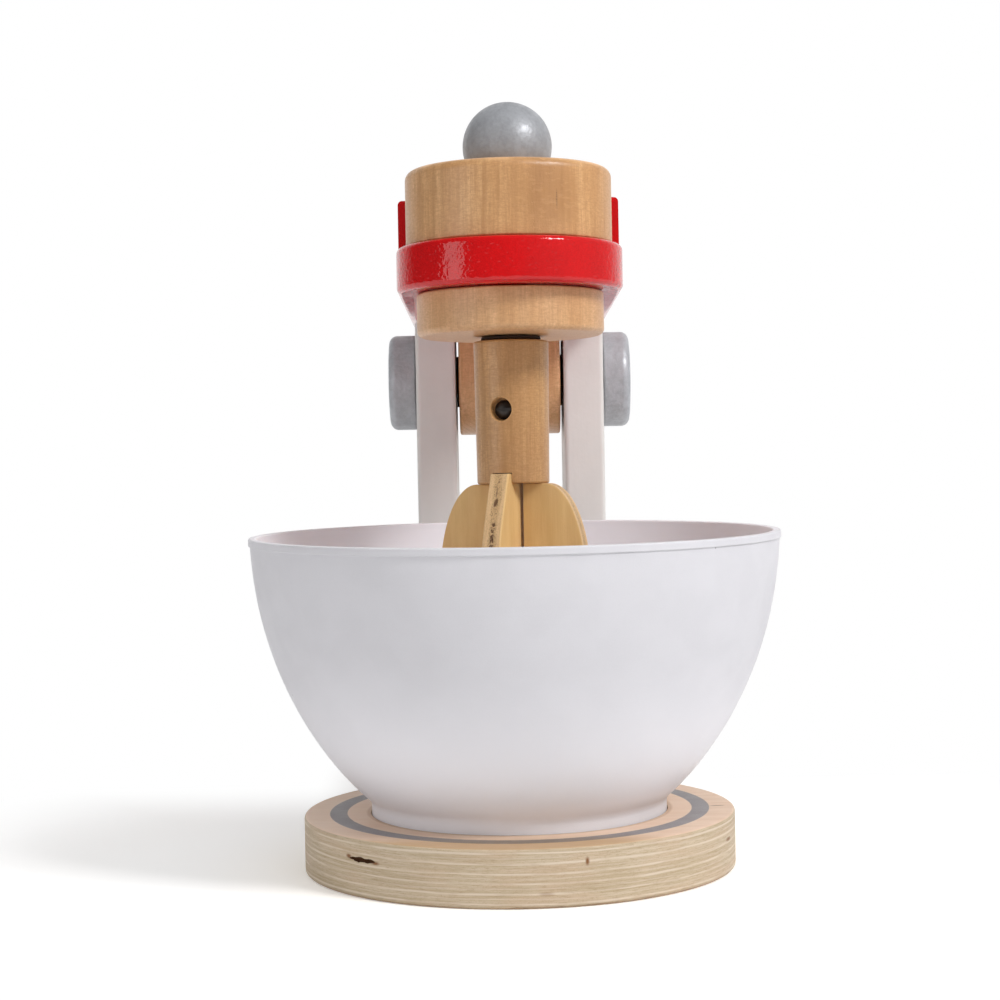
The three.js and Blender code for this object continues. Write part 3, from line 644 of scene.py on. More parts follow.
def bowl_plastic(base):
    """Matt moulded plastic: a faint mottle, fine texture and a few dust specks, with painted light making the
    lower outside and the inside lighter.
    """
    f = Finish("bowl_matt_plastic")
    x, y, z = f.split(f.here)
    mottle = f.cloud((14, 14, 14), 0.34, 0.66)
    grain = f.cloud((0.35, 0.35, 0.35), 0.34, 0.66, 2, 0.6)
    normal = f.add("ShaderNodeTexCoord", output="Normal")
    spoke = f.add("ShaderNodeCombineXYZ", None, {0: x, 1: y})
    outward = f.vector("DOT_PRODUCT", normal, spoke, output="Value")
    # Painted light: low marks the lower outside, made lighter to stand in for light thrown up from the floor; the
    # foot's right side is left out
    low = f.ease(z, 78, 32) * (1.0 - f.ease(z, 27, 22) * f.ease(x, -10, 45))
    specks = f.ease(f.cells((13, 13, 13), (3.1, 7.7, 2.2)), 0.032, 0.018)
    few = f.cloud((20, 20, 20), 0.45, 0.55, 1, 0.5, (5, 1, 9))
    colour = f.coats(
        shade(base, 1.015),
        (mottle * 0.5 + grain * 0.3, shade(base, 0.96)),
        # painted light from the floor on the lower outside
        (low, shade(base, 1.26)),
        # painted light: the inside, where the normal points towards the axis, is made lighter to stand in for
        # light bouncing inside the bowl
        (f.ease(outward, 4, -4), shade(base, 1.29)),
        (specks * few * 0.55, shade(base, 0.34)),
    )
    rough = 0.44 + mottle * 0.10 + grain * 0.06
    return f.done(colour, rough, f.bump(grain * 0.7 + mottle * 0.5, 0.012), specular=0.42)


def painted(name, base, place, peel, depth, roughness, blotch, streaks=0.0, nose=None):
    """Sprayed paint on wood: orange peel, and the wood's grain just felt under it.

    Behind the place called nose, in millimetres along y, the peel is much flatter.
    """
    f = Finish(name, place)
    orange_peel = f.cloud((peel, peel, peel), 0.30, 0.70, 1)
    slow = f.cloud((9, 9, 14), 0.32, 0.68)
    grain = f.cloud((0.9, 0.9, 24), 0.34, 0.66, 2, 0.55)
    colour = f.mix(slow, shade(base, 1 + blotch), shade(base, 1 - blotch))
    rough = roughness + slow * 0.05 + grain * streaks * 0.4
    height = orange_peel * 0.6 + slow * 0.6 + grain * streaks
    if nose is not None:
        y = f.split(f.here)[1]
        height = height * (0.30 + f.ease(y, nose + 14, nose) * 0.70)
    return f.done(colour, rough, f.bump(height, depth))


def silver_paint(name, base, place, seed):
    """Silver grey paint: fine flakes in a blotchy satin coat."""
    f = Finish(name, place)
    flake = f.cloud((0.22, 0.22, 0.22), 0.34, 0.66, 2, 0.6, seed)
    mottle = f.cloud((1.3, 1.3, 1.3), 0.34, 0.66, 2, 0.6, seed)
    blotch = f.cloud((4.2, 4.2, 5.5), 0.36, 0.64, 2, 0.55, seed)
    cover = blotch * 0.40 + mottle * 0.32 + flake * 0.26
    colour = f.mix(cover, shade(base, 1.12), shade(base, 0.86))
    rough = 0.35 + blotch * 0.12 + mottle * 0.06
    height = blotch * 0.9 + mottle * 0.45 + flake * 0.09
    return f.done(colour, rough, f.bump(height, 0.07), specular=0.26, metallic=0.18)


def plain_metal(name, steel):
    """Dark plated steel with fine turning marks."""
    f = Finish(name)
    scratch = f.noise((0.5, 0.5, 0.12), 3, 0.6)
    colour = f.mix(scratch, steel, shade(steel, 0.6))
    return f.done(colour, 0.30 + scratch * 0.2, f.bump(scratch, 0.01), metallic=0.9)


def plain_rubber(dark):
    """Matt black rubber."""
    f = Finish("washer_rubber")
    grain = f.noise((0.3, 0.3, 0.3))
    return f.done(f.mix(grain, dark, shade(dark, 1.8)), 0.75, f.bump(grain, 0.02), specular=0.15)


# Mesh work ---------------------------------------------------------------------

STAND_UP = Matrix(((0, 0, 1, 0), (1, 0, 0, 0), (0, 1, 0, 0), (0, 0, 0, 1)))
ALONG_X = Matrix.Rotation(pi / 2, 4, "Y")
TO_FRONT = Matrix.Rotation(pi / 2, 4, "X")
TURN_OVER = Matrix.Rotation(pi, 4, "X")


def shift(x=0, y=0, z=0):
    return Matrix.Translation((x, y, z))


def in_mm(*points):
    """Points of a profile or an outline that are given in millimetres."""
    return [(x * MM, y * MM) for x, y in points]


def arc(x, y, radius, start, end, steps, radius_up=None):
    """Points along an arc of a circle or an ellipse."""
    angles = [start + (end - start) * i / steps for i in range(steps + 1)]
    return [(x + radius * cos(a), y + (radius_up or radius) * sin(a)) for a in angles]


def low_edge(radius, edge, steps):
    """The rounded lower edge of a turned profile."""
    return arc(radius - edge, edge, edge, -pi / 2, 0, steps)


def high_edge(radius, height, edge, steps):
    """The rounded upper edge of a turned profile."""
    return arc(radius - edge, height - edge, edge, 0, pi / 2, steps)


def back_corners(half, back, corner):
    """The two rounded corners at the back of an outline."""
    right = arc(half - corner, back - corner, corner, 0, pi / 2, 14)
    return right + arc(corner - half, back - corner, corner, pi / 2, pi, 14)


def bezier(points, steps):
    places = []
    for i in range(steps + 1):
        t = i / steps
        shares = ((1 - t) ** 3, 3 * (1 - t) ** 2 * t, 3 * (1 - t) * t * t, t ** 3)
        places.append(tuple(sum(s * p[axis] for s, p in zip(shares, points)) for axis in (0, 1)))
    return places


def offset_curve(points, depth):
    """A curve drawn to its left by a depth."""
    moved = []
    for i, here in enumerate(points):
        before = points[max(i - 1, 0)]
        after = points[min(i + 1, len(points) - 1)]
        way = Vector((after[0] - before[0], after[1] - before[1])).normalized()
        moved.append((here[0] - way.y * depth, here[1] + way.x * depth))
    return moved


def inset(outline, depth):
    """An outline drawn in by a depth, its corners mitred."""
    points = []
    count = len(outline)
    for i, here in enumerate(outline):
        before = Vector(here) - Vector(outline[i - 1])
        after = Vector(outline[(i + 1) % count]) - Vector(here)
        one = Vector((before.y, -before.x)).normalized()
        two = Vector((after.y, -after.x)).normalized()
        points.append(tuple(Vector(here) - (one + two) * (depth / (1 + one.dot(two)))))
    return points


def held(profile, closed=False):
    """Adds a point just inside both ends of each long stretch, which keeps its shading straight."""
    points = []
    pairs = list(zip(profile, profile[1:] + profile[:1]))
    for index, (here, there) in enumerate(pairs):
        points.append(here)
        run = dist(here, there)
        if run > 4 * SHADE_HOLD and (closed or index < len(pairs) - 1):
            for part in (SHADE_HOLD / run, 1 - SHADE_HOLD / run):
                points.append(tuple(a + (b - a) * part for a, b in zip(here, there)))
    return points


def skin(shape, rows):
    """Faces from each row of points to the next. A row on the axis is a single point."""
    for low, high in zip(rows, rows[1:]):
        count = max(len(low), len(high))
        for i in range(count):
            j = (i + 1) % count
            corners = [row[k % len(row)] for row, k in ((low, i), (low, j), (high, j), (high, i))]
            shape.faces.new(tuple(dict.fromkeys(corners)))


def turned(profile, sides=SIDES, closed=False):
    """A solid turned about z from a profile of radius and height, listed from the bottom up."""
    shape = bmesh.new()
    angles = [2 * pi * i / sides for i in range(sides)]
    rows = []
    for radius, z in held(profile, closed):
        around = angles if radius else [0]
        rows.append([shape.verts.new((radius * cos(a), radius * sin(a), z)) for a in around])
    skin(shape, rows + rows[:1] if closed else rows)
    return shape


def board(outline, thickness, edge, steps=5):
    """A board sawn to an outline, standing on z = 0, with its edges rounded."""
    layers = [(edge + SHADE_HOLD, 0)]
    for i in range(steps + 1):
        turn = pi / 2 * i / steps
        layers.append((edge * (1 - sin(turn)), edge * (1 - cos(turn))))
    layers.append((0, edge + SHADE_HOLD))
    layers += [(drawn, thickness - z) for drawn, z in reversed(layers)]
    shape = bmesh.new()
    rows = [
        [shape.verts.new((x, y, z)) for x, y in inset(outline, drawn)] for drawn, z in layers
    ]
    skin(shape, rows)
    shape.faces.new(list(reversed(rows[0])))
    shape.faces.new(rows[-1])
    return shape


def slab(x, y, z):
    """A plain block about the origin, used as a cutter."""
    shape = bmesh.new()
    bmesh.ops.create_cube(shape, size=1.0)
    bmesh.ops.scale(shape, verts=shape.verts, vec=(x, y, z))
    return shape


def rod(radius, low, high, sides=SMALL_SIDES):
    return turned([(0, low), (radius, low), (radius, high), (0, high)], sides)


def washer(bore, *rim):
    """A flat ring, from its bore in metres and the points of its rim in millimetres."""
    rim = in_mm(*rim)
    return turned([(bore, 0), *rim, (bore, rim[-1][1])], 96, closed=True)


def wood_screw(head, shank, reach):
    """A countersunk screw with its face at z = 0."""
    tip, rounding = shank * 1.4, 0.15 * MM
    return turned([
        (0, -reach), (shank * 0.4, -reach + tip * 0.55), (shank, tip - reach),
        (shank, -head * SCREW_HEAD_DEPTH), (head, -rounding), (head - rounding, 0), (0, 0),
    ], SMALL_SIDES)


def countersink(head, shank, reach, sink):
    """The hole of a wood screw whose face lies at z = 0, open upwards."""
    low, cone, wide = -reach - SEAT_GAP, -head * SCREW_HEAD_DEPTH - SEAT_GAP, head + 2 * SEAT_GAP
    return turned([
        (0, low), (shank + SEAT_GAP, low), (shank + SEAT_GAP, cone),
        (wide, 0), (wide, sink + OVERRUN), (0, sink + OVERRUN),
    ], SMALL_SIDES)


def placed(shape, place):
    shape.transform(place)
    return shape


def as_object(name, shape):
    bmesh.ops.recalc_face_normals(shape, faces=shape.faces)
    mesh = bpy.data.meshes.new(name)
    shape.to_mesh(mesh)
    shape.free()
    obj = bpy.data.objects.new(name, mesh)
    bpy.context.scene.collection.objects.link(obj)
    return obj


def cut(obj, cutters):
    """Cuts shapes out of an object, one after another, and applies the result."""
    tools = []
    for number, shape in enumerate(cutters):
        tool = as_object(f"{obj.name}_cutter_{number}", shape)
        step = obj.modifiers.new(tool.name, "BOOLEAN")
        step.operation = "DIFFERENCE"
        step.solver = "EXACT"
        step.object = tool
        tools.append(tool)
    graph = bpy.context.evaluated_depsgraph_get()
    mesh = bpy.data.meshes.new_from_object(obj.evaluated_get(graph))
    obj.modifiers.clear()
    old = obj.data
    obj.data = mesh
    mesh.name = obj.name
    bpy.data.meshes.remove(old)
    for tool in tools:
        spare = tool.data
        bpy.data.objects.remove(tool)
        bpy.data.meshes.remove(spare)


def stand_in(node, slot, shape, place, *finishes, holes=()):
    """Puts a finished fine piece, with its holes cut, in the place of a node of the same form."""
    obj = as_object(f"{node}_fine", placed(shape, place))
    if holes:
        cut(obj, holes)
    obj.data.materials.clear()
    for finish in finishes:
        obj.data.materials.append(finish)
    obj.data.shade_smooth()
    obj.data.set_sharp_from_angle(angle=SHARP_FROM)
    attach(obj, BODY_OF[node])
    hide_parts(node)
    return obj


def chosen(context):
    """The sizes and colours that are set."""
    return context.scene.mixer_sizes, context.scene.mixer_colours


def dress(node, finish):
    """Gives a node that stays its finish."""
    slots = frame["nodes"][node].data.materials
    slots.clear()
    slots.append(finish)


# Outlines, profiles and holes --------------------------------------------------


def base_outline():
    """A round front, and a tail behind that carries the uprights, with soft corners between."""
    tail, neck = UPRIGHT_OUT + 11 * MM, 14 * MM
    neck_x = tail + neck
    neck_y = sqrt((BASE_RADIUS + neck) ** 2 - neck_x ** 2)
    turn = atan2(neck_y, neck_x)
    front = arc(0, 0, BASE_RADIUS, pi - turn, 2 * pi + turn, 180)
    return (
        front[1:-1]
        + arc(neck_x, neck_y, neck, pi + turn, pi, 12)
        + back_corners(tail, BASE_BACK, 12 * MM)
        + arc(-neck_x, neck_y, neck, 0, -turn, 12)
    )


def void_pocket():
    """The ragged gap in the plies, long in x, deep in y and narrow in z."""
    long, deep, wide = 12.0 * MM, 1.6 * MM, 1.5 * MM
    shape = bmesh.new()
    bmesh.ops.create_icosphere(shape, subdivisions=3, radius=1.0)
    for v in shape.verts:
        ragged = 1 + 0.22 * sin(9 * v.co.x + 2 * v.co.z) + 0.12 * sin(7 * v.co.x + 3)
        v.co = Vector((v.co.x * long / 2, v.co.y * deep, v.co.z * wide / 2 * ragged))
    return shape


def line_void(obj, centre):
    """Gives the faces inside the gap of the plies the second material."""
    inner, upper = BASE_RADIUS - 0.12 * MM, 16 * MM
    for face in obj.data.polygons:
        x, y, z = face.center
        near = (face.center - centre).length < VOID_REACH
        face.material_index = int(near and hypot(x, y) < inner and z < upper)


def bowl_profile(sizes):
    """The bowl's section from under its middle, up the outside, over the lip and back."""
    rim, height, wall = BOWL_RIM, BOWL_HIGH.z - BOWL_LOW.z, sizes.bowl_wall
    lip, lip_height = 0.5 * MM, 2.4 * MM
    foot, foot_height, foot_top = 47.8 * MM, 4.7 * MM, 5.6 * MM
    foot_in, lift, ease = foot - 2.6 * MM, 2.2 * MM, 0.6 * MM
    out, up = rim - lip - foot, height - lip_height - foot_height
    side = bezier([
        (foot, foot_top),
        (foot + 0.235 * out, foot_height + 0.095 * up),
        (foot + 0.939 * out, foot_height + 0.425 * up),
        (foot + out, foot_height + up),
    ], 48)
    soft = sizes.bowl_foot_round
    start = next(i for i, point in enumerate(side) if dist(point, (foot, foot_top)) > soft)
    fillet = bezier([
        (foot, foot_top - soft), (foot, foot_top - soft * 0.4),
        ((foot + side[start][0]) / 2, (foot_top + side[start][1]) / 2), side[start],
    ], 6)
    floor = lift + wall
    inner = [p for p in reversed(offset_curve(side, wall)) if p[1] > floor + 0.7 * MM]
    low = inner[-1][0]
    inner_floor = bezier([
        inner[-1], (low - 1.2 * MM, floor + 0.15 * MM),
        (low - 2.4 * MM, floor), (low - 5 * MM, floor),
    ], 6)
    edge = lip / 2
    in_rim = rim - lip - wall
    return (
        [(0, lift), (foot_in - ease, lift), (foot_in, lift - ease)]
        + [(foot_in, 0.4 * MM), (foot_in + 0.4 * MM, 0)]
        + low_edge(foot, 0.5 * MM, 4)
        + fillet + side[start + 1:]
        + arc(rim - edge, height - lip_height + edge, edge, -pi / 2, 0, 3)
        + high_edge(rim, height, lip, 4)
        + arc(in_rim + lip, height - lip, lip, pi / 2, pi, 4)
        + inner + inner_floor[1:] + [(0, floor)]
    )


def upright_outline():
    """Side view of an upright, in y from the pivot and z from the table."""
    half = (UPRIGHT_BACK - UPRIGHT_FRONT) / 2
    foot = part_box("right_upright")[0].z
    rise = half / cos(TILT) + half * sin(TILT) / cos(TILT)
    return (
        [(-half, foot), (half, foot)]
        + arc(0, PIVOT.z, half, 0, pi / 2 - TILT, 40)
        + [(-half, PIVOT.z + rise)]
    )


def plate_outline():
    """A round front under the drum, and rounded corners behind."""
    front = arc(0, -REACH, PLATE_HALF, pi, 2 * pi, 120)
    return front + back_corners(PLATE_HALF, HEAD_BACK, HEAD_CORNER)


def head_block_outline():
    """The plate's back part, hollowed in front to pass round the drum."""
    front, hollow = 17 * MM, DRUM_RADIUS + 1.3 * MM
    turn = asin(front / hollow)
    return (
        [(PLATE_HALF, front - REACH)]
        + back_corners(PLATE_HALF, HEAD_BACK, HEAD_CORNER)
        + [(-PLATE_HALF, front - REACH)]
        + arc(0, -REACH, hollow, pi - turn, turn, 60)
    )


BLADE_RADIUS, BLADE_UP, BLADE_DOWN = 24.6 * MM, 30.3 * MM, 46.5 * MM
SHOULDER, TIP_ROUND = 13 * MM, 19.5 * MM
BLADE_THICK = 6.2 * MM
HALVING = BLADE_THICK / 2 + 0.7 * MM


def lower_round():
    """A blade's right side from the tip up to the widest place."""
    return arc(BLADE_RADIUS - TIP_ROUND, 0, TIP_ROUND, -pi / 2, 0, 48, BLADE_DOWN)


def mirrored(right):
    """The left side for a right side, from the top down."""
    return [(-x, z) for x, z in reversed(right)]


def blade_a_outline():
    """The blade whose top sits in the shaft's slot: its sides run nearly straight up to it."""
    top = BLADE_UP + 3.4 * MM
    tongue = SHAFT_FOOT_RADIUS + 2 * MM
    middle = (BLADE_UP - BLADE_DOWN) / 2 + SEAT_GAP / 2
    right = lower_round() + bezier([
        (BLADE_RADIUS, 0), (BLADE_RADIUS, 12 * MM), (20.2 * MM, 18.5 * MM), (tongue, top),
    ], 36)[1:]
    return (
        [(HALVING, -BLADE_DOWN)] + right + mirrored(right)
        + [(-HALVING, -BLADE_DOWN), (-HALVING, middle), (HALVING, middle)]
    )


def blade_b_outline():
    """The blade whose top lies flat against the shaft's foot."""
    top = BLADE_UP + 0.93 * SEAT_GAP
    middle = (BLADE_UP - BLADE_DOWN) / 2 - SEAT_GAP / 2
    right = lower_round() + arc(BLADE_RADIUS - SHOULDER, 0, SHOULDER, 0, pi / 2, 32, top)[1:]
    slot = HALVING + SEAT_GAP
    return right + [(slot, top), (slot, middle), (-slot, middle), (-slot, top)] + mirrored(right)


def base_screw_holes(places):
    return [
        placed(countersink(*BASE_SCREW, BASE_SINK), shift(x, y, BASE_SINK) @ TURN_OVER)
        for x, y in places
    ]


def plate_screw_holes():
    return [
        placed(countersink(*PLATE_SCREW, PLATE_SINK), HEAD @ shift(0, y, PLATE_TOP - PLATE_SINK))
        for y in (-12 * MM, 12 * MM)
    ]


def block_dowel_holes():
    radius, half = 4 * MM + SEAT_GAP, 9 * MM + SEAT_GAP
    return [
        placed(rod(radius, -half, half), HEAD @ shift(x, 56 * MM - REACH, PLATE_TOP))
        for x in (-17 * MM, 17 * MM)
    ]


# Operators ---------------------------------------------------------------------


class MIXER_OT_base_board(Operator):
    """Builds the plywood base board with the bowl's seat, screw holes and a gap in the plies"""

    bl_idname = "mixer.base_board"
    bl_label = "Base board"
    bl_options = {"REGISTER", "UNDO"}

    def execute(self, context):
        sizes, colours = chosen(context)
        seat = rod(BOWL_SEAT_RADIUS, BOWL_SEAT_Z, BASE_TOP + OVERRUN, 192)
        void = Vector((BASE_RADIUS * cos(VOID_TURN), BASE_RADIUS * sin(VOID_TURN), VOID_Z))
        along = Matrix.Rotation(VOID_TURN + pi / 2, 4, "Z")
        pocket = placed(void_pocket(), shift(*void) @ along)
        obj = stand_in(
            "base_board", "base_plywood", board(base_outline(), BASE_TOP, sizes.base_round), WORLD,
            base_plywood(sizes, colours), void_wood(),
            holes=[seat, *base_screw_holes(BASE_SCREWS), pocket],
        )
        line_void(obj, void)
        return {"FINISHED"}


class MIXER_OT_bowl(Operator):
    """Builds the moulded bowl"""

    bl_idname = "mixer.bowl"
    bl_label = "Bowl"
    bl_options = {"REGISTER", "UNDO"}

    def execute(self, context):
        sizes, colours = chosen(context)
        shape = turned(bowl_profile(sizes), FINE_SIDES)
        stand_in(
            "bowl", "bowl_plastic", shape, shift(z=BOWL_LOW.z), bowl_plastic(colours.bowl),
        )
        return {"FINISHED"}


class MIXER_OT_uprights(Operator):
    """Builds the white uprights with their pivot bores and screw holes"""

    bl_idname = "mixer.uprights"
    bl_label = "Uprights"
    bl_options = {"REGISTER", "UNDO"}

    def execute(self, context):
        sizes, colours = chosen(context)
        thickness = UPRIGHT_OUT - UPRIGHT_IN
        paint = painted(
            "upright_white_paint", colours.white, WORLD, peel=1.6, depth=0.020, roughness=0.42,
            blotch=0.015, streaks=0.3,
        )
        for side, node, screws in (
            (-1, "left_upright", BASE_SCREWS[:2]), (1, "right_upright", BASE_SCREWS[2:]),
        ):
            centre = side * (UPRIGHT_IN + UPRIGHT_OUT) / 2
            bore = rod(FREE_BORE, -thickness, thickness)
            stand_in(
                node, "white_paint", board(upright_outline(), thickness, sizes.upright_round),
                shift(centre - thickness / 2, PIVOT.y) @ STAND_UP, paint,
                holes=[
                    placed(bore, shift(centre, PIVOT.y, PIVOT.z) @ ALONG_X),
                    *base_screw_holes(screws),
                ],
            )
        return {"FINISHED"}


class MIXER_OT_pivot(Operator):
    """Builds the pivot block, its dark washers and the silver knobs outside the uprights"""

    bl_idname = "mixer.pivot"
    bl_label = "Pivot"
    bl_options = {"REGISTER", "UNDO"}

    def execute(self, context):
        sizes, colours = chosen(context)
        radius, top = PIVOT_BLOCK_RADIUS, HEAD_DROP - SEAT_GAP
        half = BLOCK_HALF + 0.7 * SEAT_GAP
        outline = [(radius, top), (-radius, top)] + arc(0, 0, radius, pi, 2 * pi, 72)
        bore = placed(rod(TIGHT_BORE, -BLOCK_HALF * 1.2, BLOCK_HALF * 1.2), HEAD @ ALONG_X)
        stand_in(
            "pivot_block", "beech", board(outline, 2 * half, sizes.block_round, 3),
            HEAD @ shift(-half) @ STAND_UP,
            turned_wood("pivot_block_wood", HEAD, colours.block_wood_painted_light, (4.2, 1.1, 7.7), 0.5),
            holes=[bore, *plate_screw_holes()],
        )

        rubber = plain_rubber(colours.dark)
        silver = silver_paint("knob_silver_paint", colours.silver, HEAD, (2.2, 5.1, 0.4))
        tall, socket_depth = KNOB_OUT - KNOB_IN, 6 * MM
        for side, name, low in ((-1, "left", -WASHER_OUT), (1, "right", WASHER_IN)):
            ring = washer(TIGHT_BORE, (9.4, 0), (9.5, 0.1), (9.5, 0.7), (9.4, 0.8))
            place = HEAD @ shift(low) @ ALONG_X
            stand_in(f"{name}_washer", "dark_washer", ring, place, rubber)
            knob = turned(
                [(0, socket_depth), (TIGHT_BORE, socket_depth), (TIGHT_BORE, 0)]
                + low_edge(KNOB_RADIUS, 0.8 * MM, 4)
                + high_edge(KNOB_RADIUS, tall, sizes.knob_round, 12)
                + [(0, tall)],
                FINE_SIDES,
            )
            place = HEAD @ shift(side * KNOB_IN) @ Matrix.Rotation(side * pi / 2, 4, "Y")
            stand_in(f"{name}_knob", "silver_paint", knob, place, silver)
        return {"FINISHED"}


class MIXER_OT_head_boards(Operator):
    """Builds the red head plate and the red block on it"""

    bl_idname = "mixer.head_boards"
    bl_label = "Head plate and block"
    bl_options = {"REGISTER", "UNDO"}

    def execute(self, context):
        sizes, colours = chosen(context)
        edge = sizes.plate_round
        paint = painted(
            "head_red_enamel", colours.red, HEAD, peel=1.3, depth=0.085, roughness=0.075,
            blotch=0.05, nose=-REACH / MM,
        )
        bore = placed(rod(FREE_BORE, HEAD_DROP - OVERRUN, PLATE_TOP + OVERRUN), SPIN)
        stand_in(
            "head_plate", "red_paint", board(plate_outline(), PLATE_THICKNESS, edge, 7),
            HEAD @ shift(z=HEAD_DROP), paint,
            holes=[bore, *plate_screw_holes(), *block_dowel_holes()],
        )
        stand_in(
            "head_block", "red_paint", board(head_block_outline(), HEAD_BLOCK_THICKNESS, edge, 7),
            HEAD @ shift(z=PLATE_TOP + SEAT_GAP), paint, holes=block_dowel_holes(),
        )
        return {"FINISHED"}


class MIXER_OT_drum_and_collar(Operator):
    """Turns the wooden drum with the ball's dish in it, and the collar under the plate"""

    bl_idname = "mixer.drum_and_collar"
    bl_label = "Drum and collar"
    bl_options = {"REGISTER", "UNDO"}

    def execute(self, context):
        sizes, colours = chosen(context)
        small_edge = 0.6 * MM
        dish, centre = BALL_RADIUS + TURN_GAP, BALL_Z - DRUM_Z
        lip, low = asin((DRUM_HEIGHT - centre) / dish), -pi / 2 + asin(FREE_BORE / dish)
        drum = turned(
            [(FREE_BORE, 0)] + low_edge(DRUM_RADIUS, small_edge, 4)
            + high_edge(DRUM_RADIUS, DRUM_HEIGHT, sizes.drum_round, 12)
            + arc(0, centre, dish, lip, low, 14),
            FINE_SIDES, closed=True,
        )
        # rim: a painted highlight along the drum's top edge
        wood = turned_wood(
            "drum_wood", SPIN, colours.drum_wood, (0.3, 2.6, 5.2), 1.0, DRUM_MARKS,
            chatter=(12.5, 47, 6, 9), rim=(DRUM_Z + DRUM_HEIGHT) / MM,
        )
        stand_in("drum", "beech", drum, SPIN @ shift(z=DRUM_Z), wood)
        collar = turned(
            [(FREE_BORE, 0)] + low_edge(COLLAR_RADIUS, sizes.collar_round, 12)
            + high_edge(COLLAR_RADIUS, COLLAR_HEIGHT, small_edge, 4) + [(FREE_BORE, COLLAR_HEIGHT)],
            FINE_SIDES, closed=True,
        )
        wood = turned_wood("collar_wood", SPIN, colours.collar_wood, (7.3, 1.2, 3.9), 0.6)
        stand_in("collar", "beech", collar, SPIN @ shift(z=COLLAR_Z), wood)
        return {"FINISHED"}


class MIXER_OT_ball(Operator):
    """Turns the silver ball knob"""

    bl_idname = "mixer.ball"
    bl_label = "Ball knob"
    bl_options = {"REGISTER", "UNDO"}

    def execute(self, context):
        radius, socket_z = BALL_RADIUS - 0.02 * MM, 4.3 * MM
        low = -pi / 2 + asin(TIGHT_BORE / radius)
        profile = [(0, socket_z), (TIGHT_BORE, socket_z)] + arc(0, 0, radius, low, pi / 2, 72)
        profile[-1] = (0, radius)
        # Painted shade: the ball gets a darker copy of the knobs' silver paint, since it faces the lamps more
        # squarely
        silver = shade(context.scene.mixer_colours.silver, 0.77)
        paint = silver_paint("ball_silver_paint", silver, BEATER, (1.7, 0.6, 3.3))
        stand_in(
            "ball_knob", "silver_paint", turned(profile, 144), BEATER @ shift(z=BALL_Z), paint,
        )
        return {"FINISHED"}


class MIXER_OT_beater_shaft(Operator):
    """Turns the beater's shaft with its cross hole and slot, its dark washer and the lock screw"""

    bl_idname = "mixer.beater_shaft"
    bl_label = "Beater shaft"
    bl_options = {"REGISTER", "UNDO"}

    def execute(self, context):
        sizes, colours = chosen(context)
        tall, edge = SHAFT_TOP_Z - SHAFT_FOOT_Z + 0.8 * SEAT_GAP, sizes.shaft_round
        bore_end = tall - SHAFT_BORE_DEPTH
        shaft = turned(
            [(0, 0)] + low_edge(SHAFT_FOOT_RADIUS, edge, 5)
            + high_edge(SHAFT_TOP_RADIUS, tall, edge, 5)
            + [(TIGHT_BORE, tall), (TIGHT_BORE, bore_end), (0, bore_end)],
        )

        # The cross hole: wide for the screw's head, narrow for its shank, and worn at its mouth
        wide = rod(3.6 * MM, LOCK_SEAT, SHAFT_TOP_RADIUS + OVERRUN)
        narrow = rod(1.8 * MM, LOCK_HOLE_END - SEAT_GAP, SHAFT_TOP_RADIUS)
        mouth = turned(in_mm((0, 10), (3.3, 10.6), (4.2, 12.4), (4.2, 15), (0, 15)), SMALL_SIDES)
        across = BEATER @ shift(z=LOCK_Z) @ TO_FRONT
        slot = slab(BLADE_THICK + 0.3 * MM, 4 * SHAFT_FOOT_RADIUS, 6.8 * MM)
        foot = BEATER @ shift(z=SHAFT_FOOT_Z)
        wood = turned_wood(
            "shaft_wood", BEATER, colours.shaft_wood, (9.1, 4.4, 1.5), 0.7, SHAFT_MARKS,
            lip=(0, LOCK_Z / MM, 4.4),
        )
        stand_in(
            "beater_shaft", "beech", shaft, foot, wood,
            holes=[placed(hole, across) for hole in (wide, narrow, mouth)] + [placed(slot, foot)],
        )

        ring = washer(FREE_BORE, (9.3, 0), (9.6, 0.3), (9.6, 0.8), (9.4, 1.0))
        place = BEATER @ shift(z=SPINDLE_WASHER_Z)
        stand_in("spindle_washer", "dark_washer", ring, place, plain_rubber(colours.dark))

        screw = turned(in_mm(
            (0, -15.5), (1.5, -15.5), (1.5, 0), (3.1, 0), (3.1, 0.4), (2.85, 0.85), (2.4, 1.25),
            (1.8, 1.6), (1.0, 1.85), (0, 1.95),
        ), SMALL_SIDES)
        driver = slab(10 * MM, 0.9 * MM, 1.6 * MM)
        stand_in(
            "lock_screw", "steel", screw,
            BEATER @ shift(0, -LOCK_SEAT - SEAT_GAP, LOCK_Z) @ TO_FRONT,
            # Partly painted shade: the screw deep in its hole gets a darker copy of the steel
            plain_metal("lock_screw_black", shade(colours.steel, 0.60)),
            holes=[placed(driver, BEATER @ shift(0, -LOCK_SEAT - 2.3 * MM, LOCK_Z) @ TO_FRONT)],
        )
        return {"FINISHED"}


class MIXER_OT_blades(Operator):
    """Saws the crossed plywood blades"""

    bl_idname = "mixer.blades"
    bl_label = "Blades"
    bl_options = {"REGISTER", "UNDO"}

    def execute(self, context):
        sizes, colours = chosen(context)
        upright = shift(-BLADE_THICK / 2, 0, BLADE_Z)
        for node, outline, place, seed, pits in (
            ("blade_a", blade_a_outline(), BEATER, (1.4, 3.3, 0.2), 1.0),
            ("blade_b", blade_b_outline(), CROSS, (6.4, 2.1, 8.8), 0.0),
        ):
            stand_in(
                node, "blade_plywood", board(outline, BLADE_THICK, sizes.blade_round, 2),
                place @ upright @ STAND_UP,
                blade_plywood(f"{node}_plywood", place, colours, seed, pits),
            )
        return {"FINISHED"}


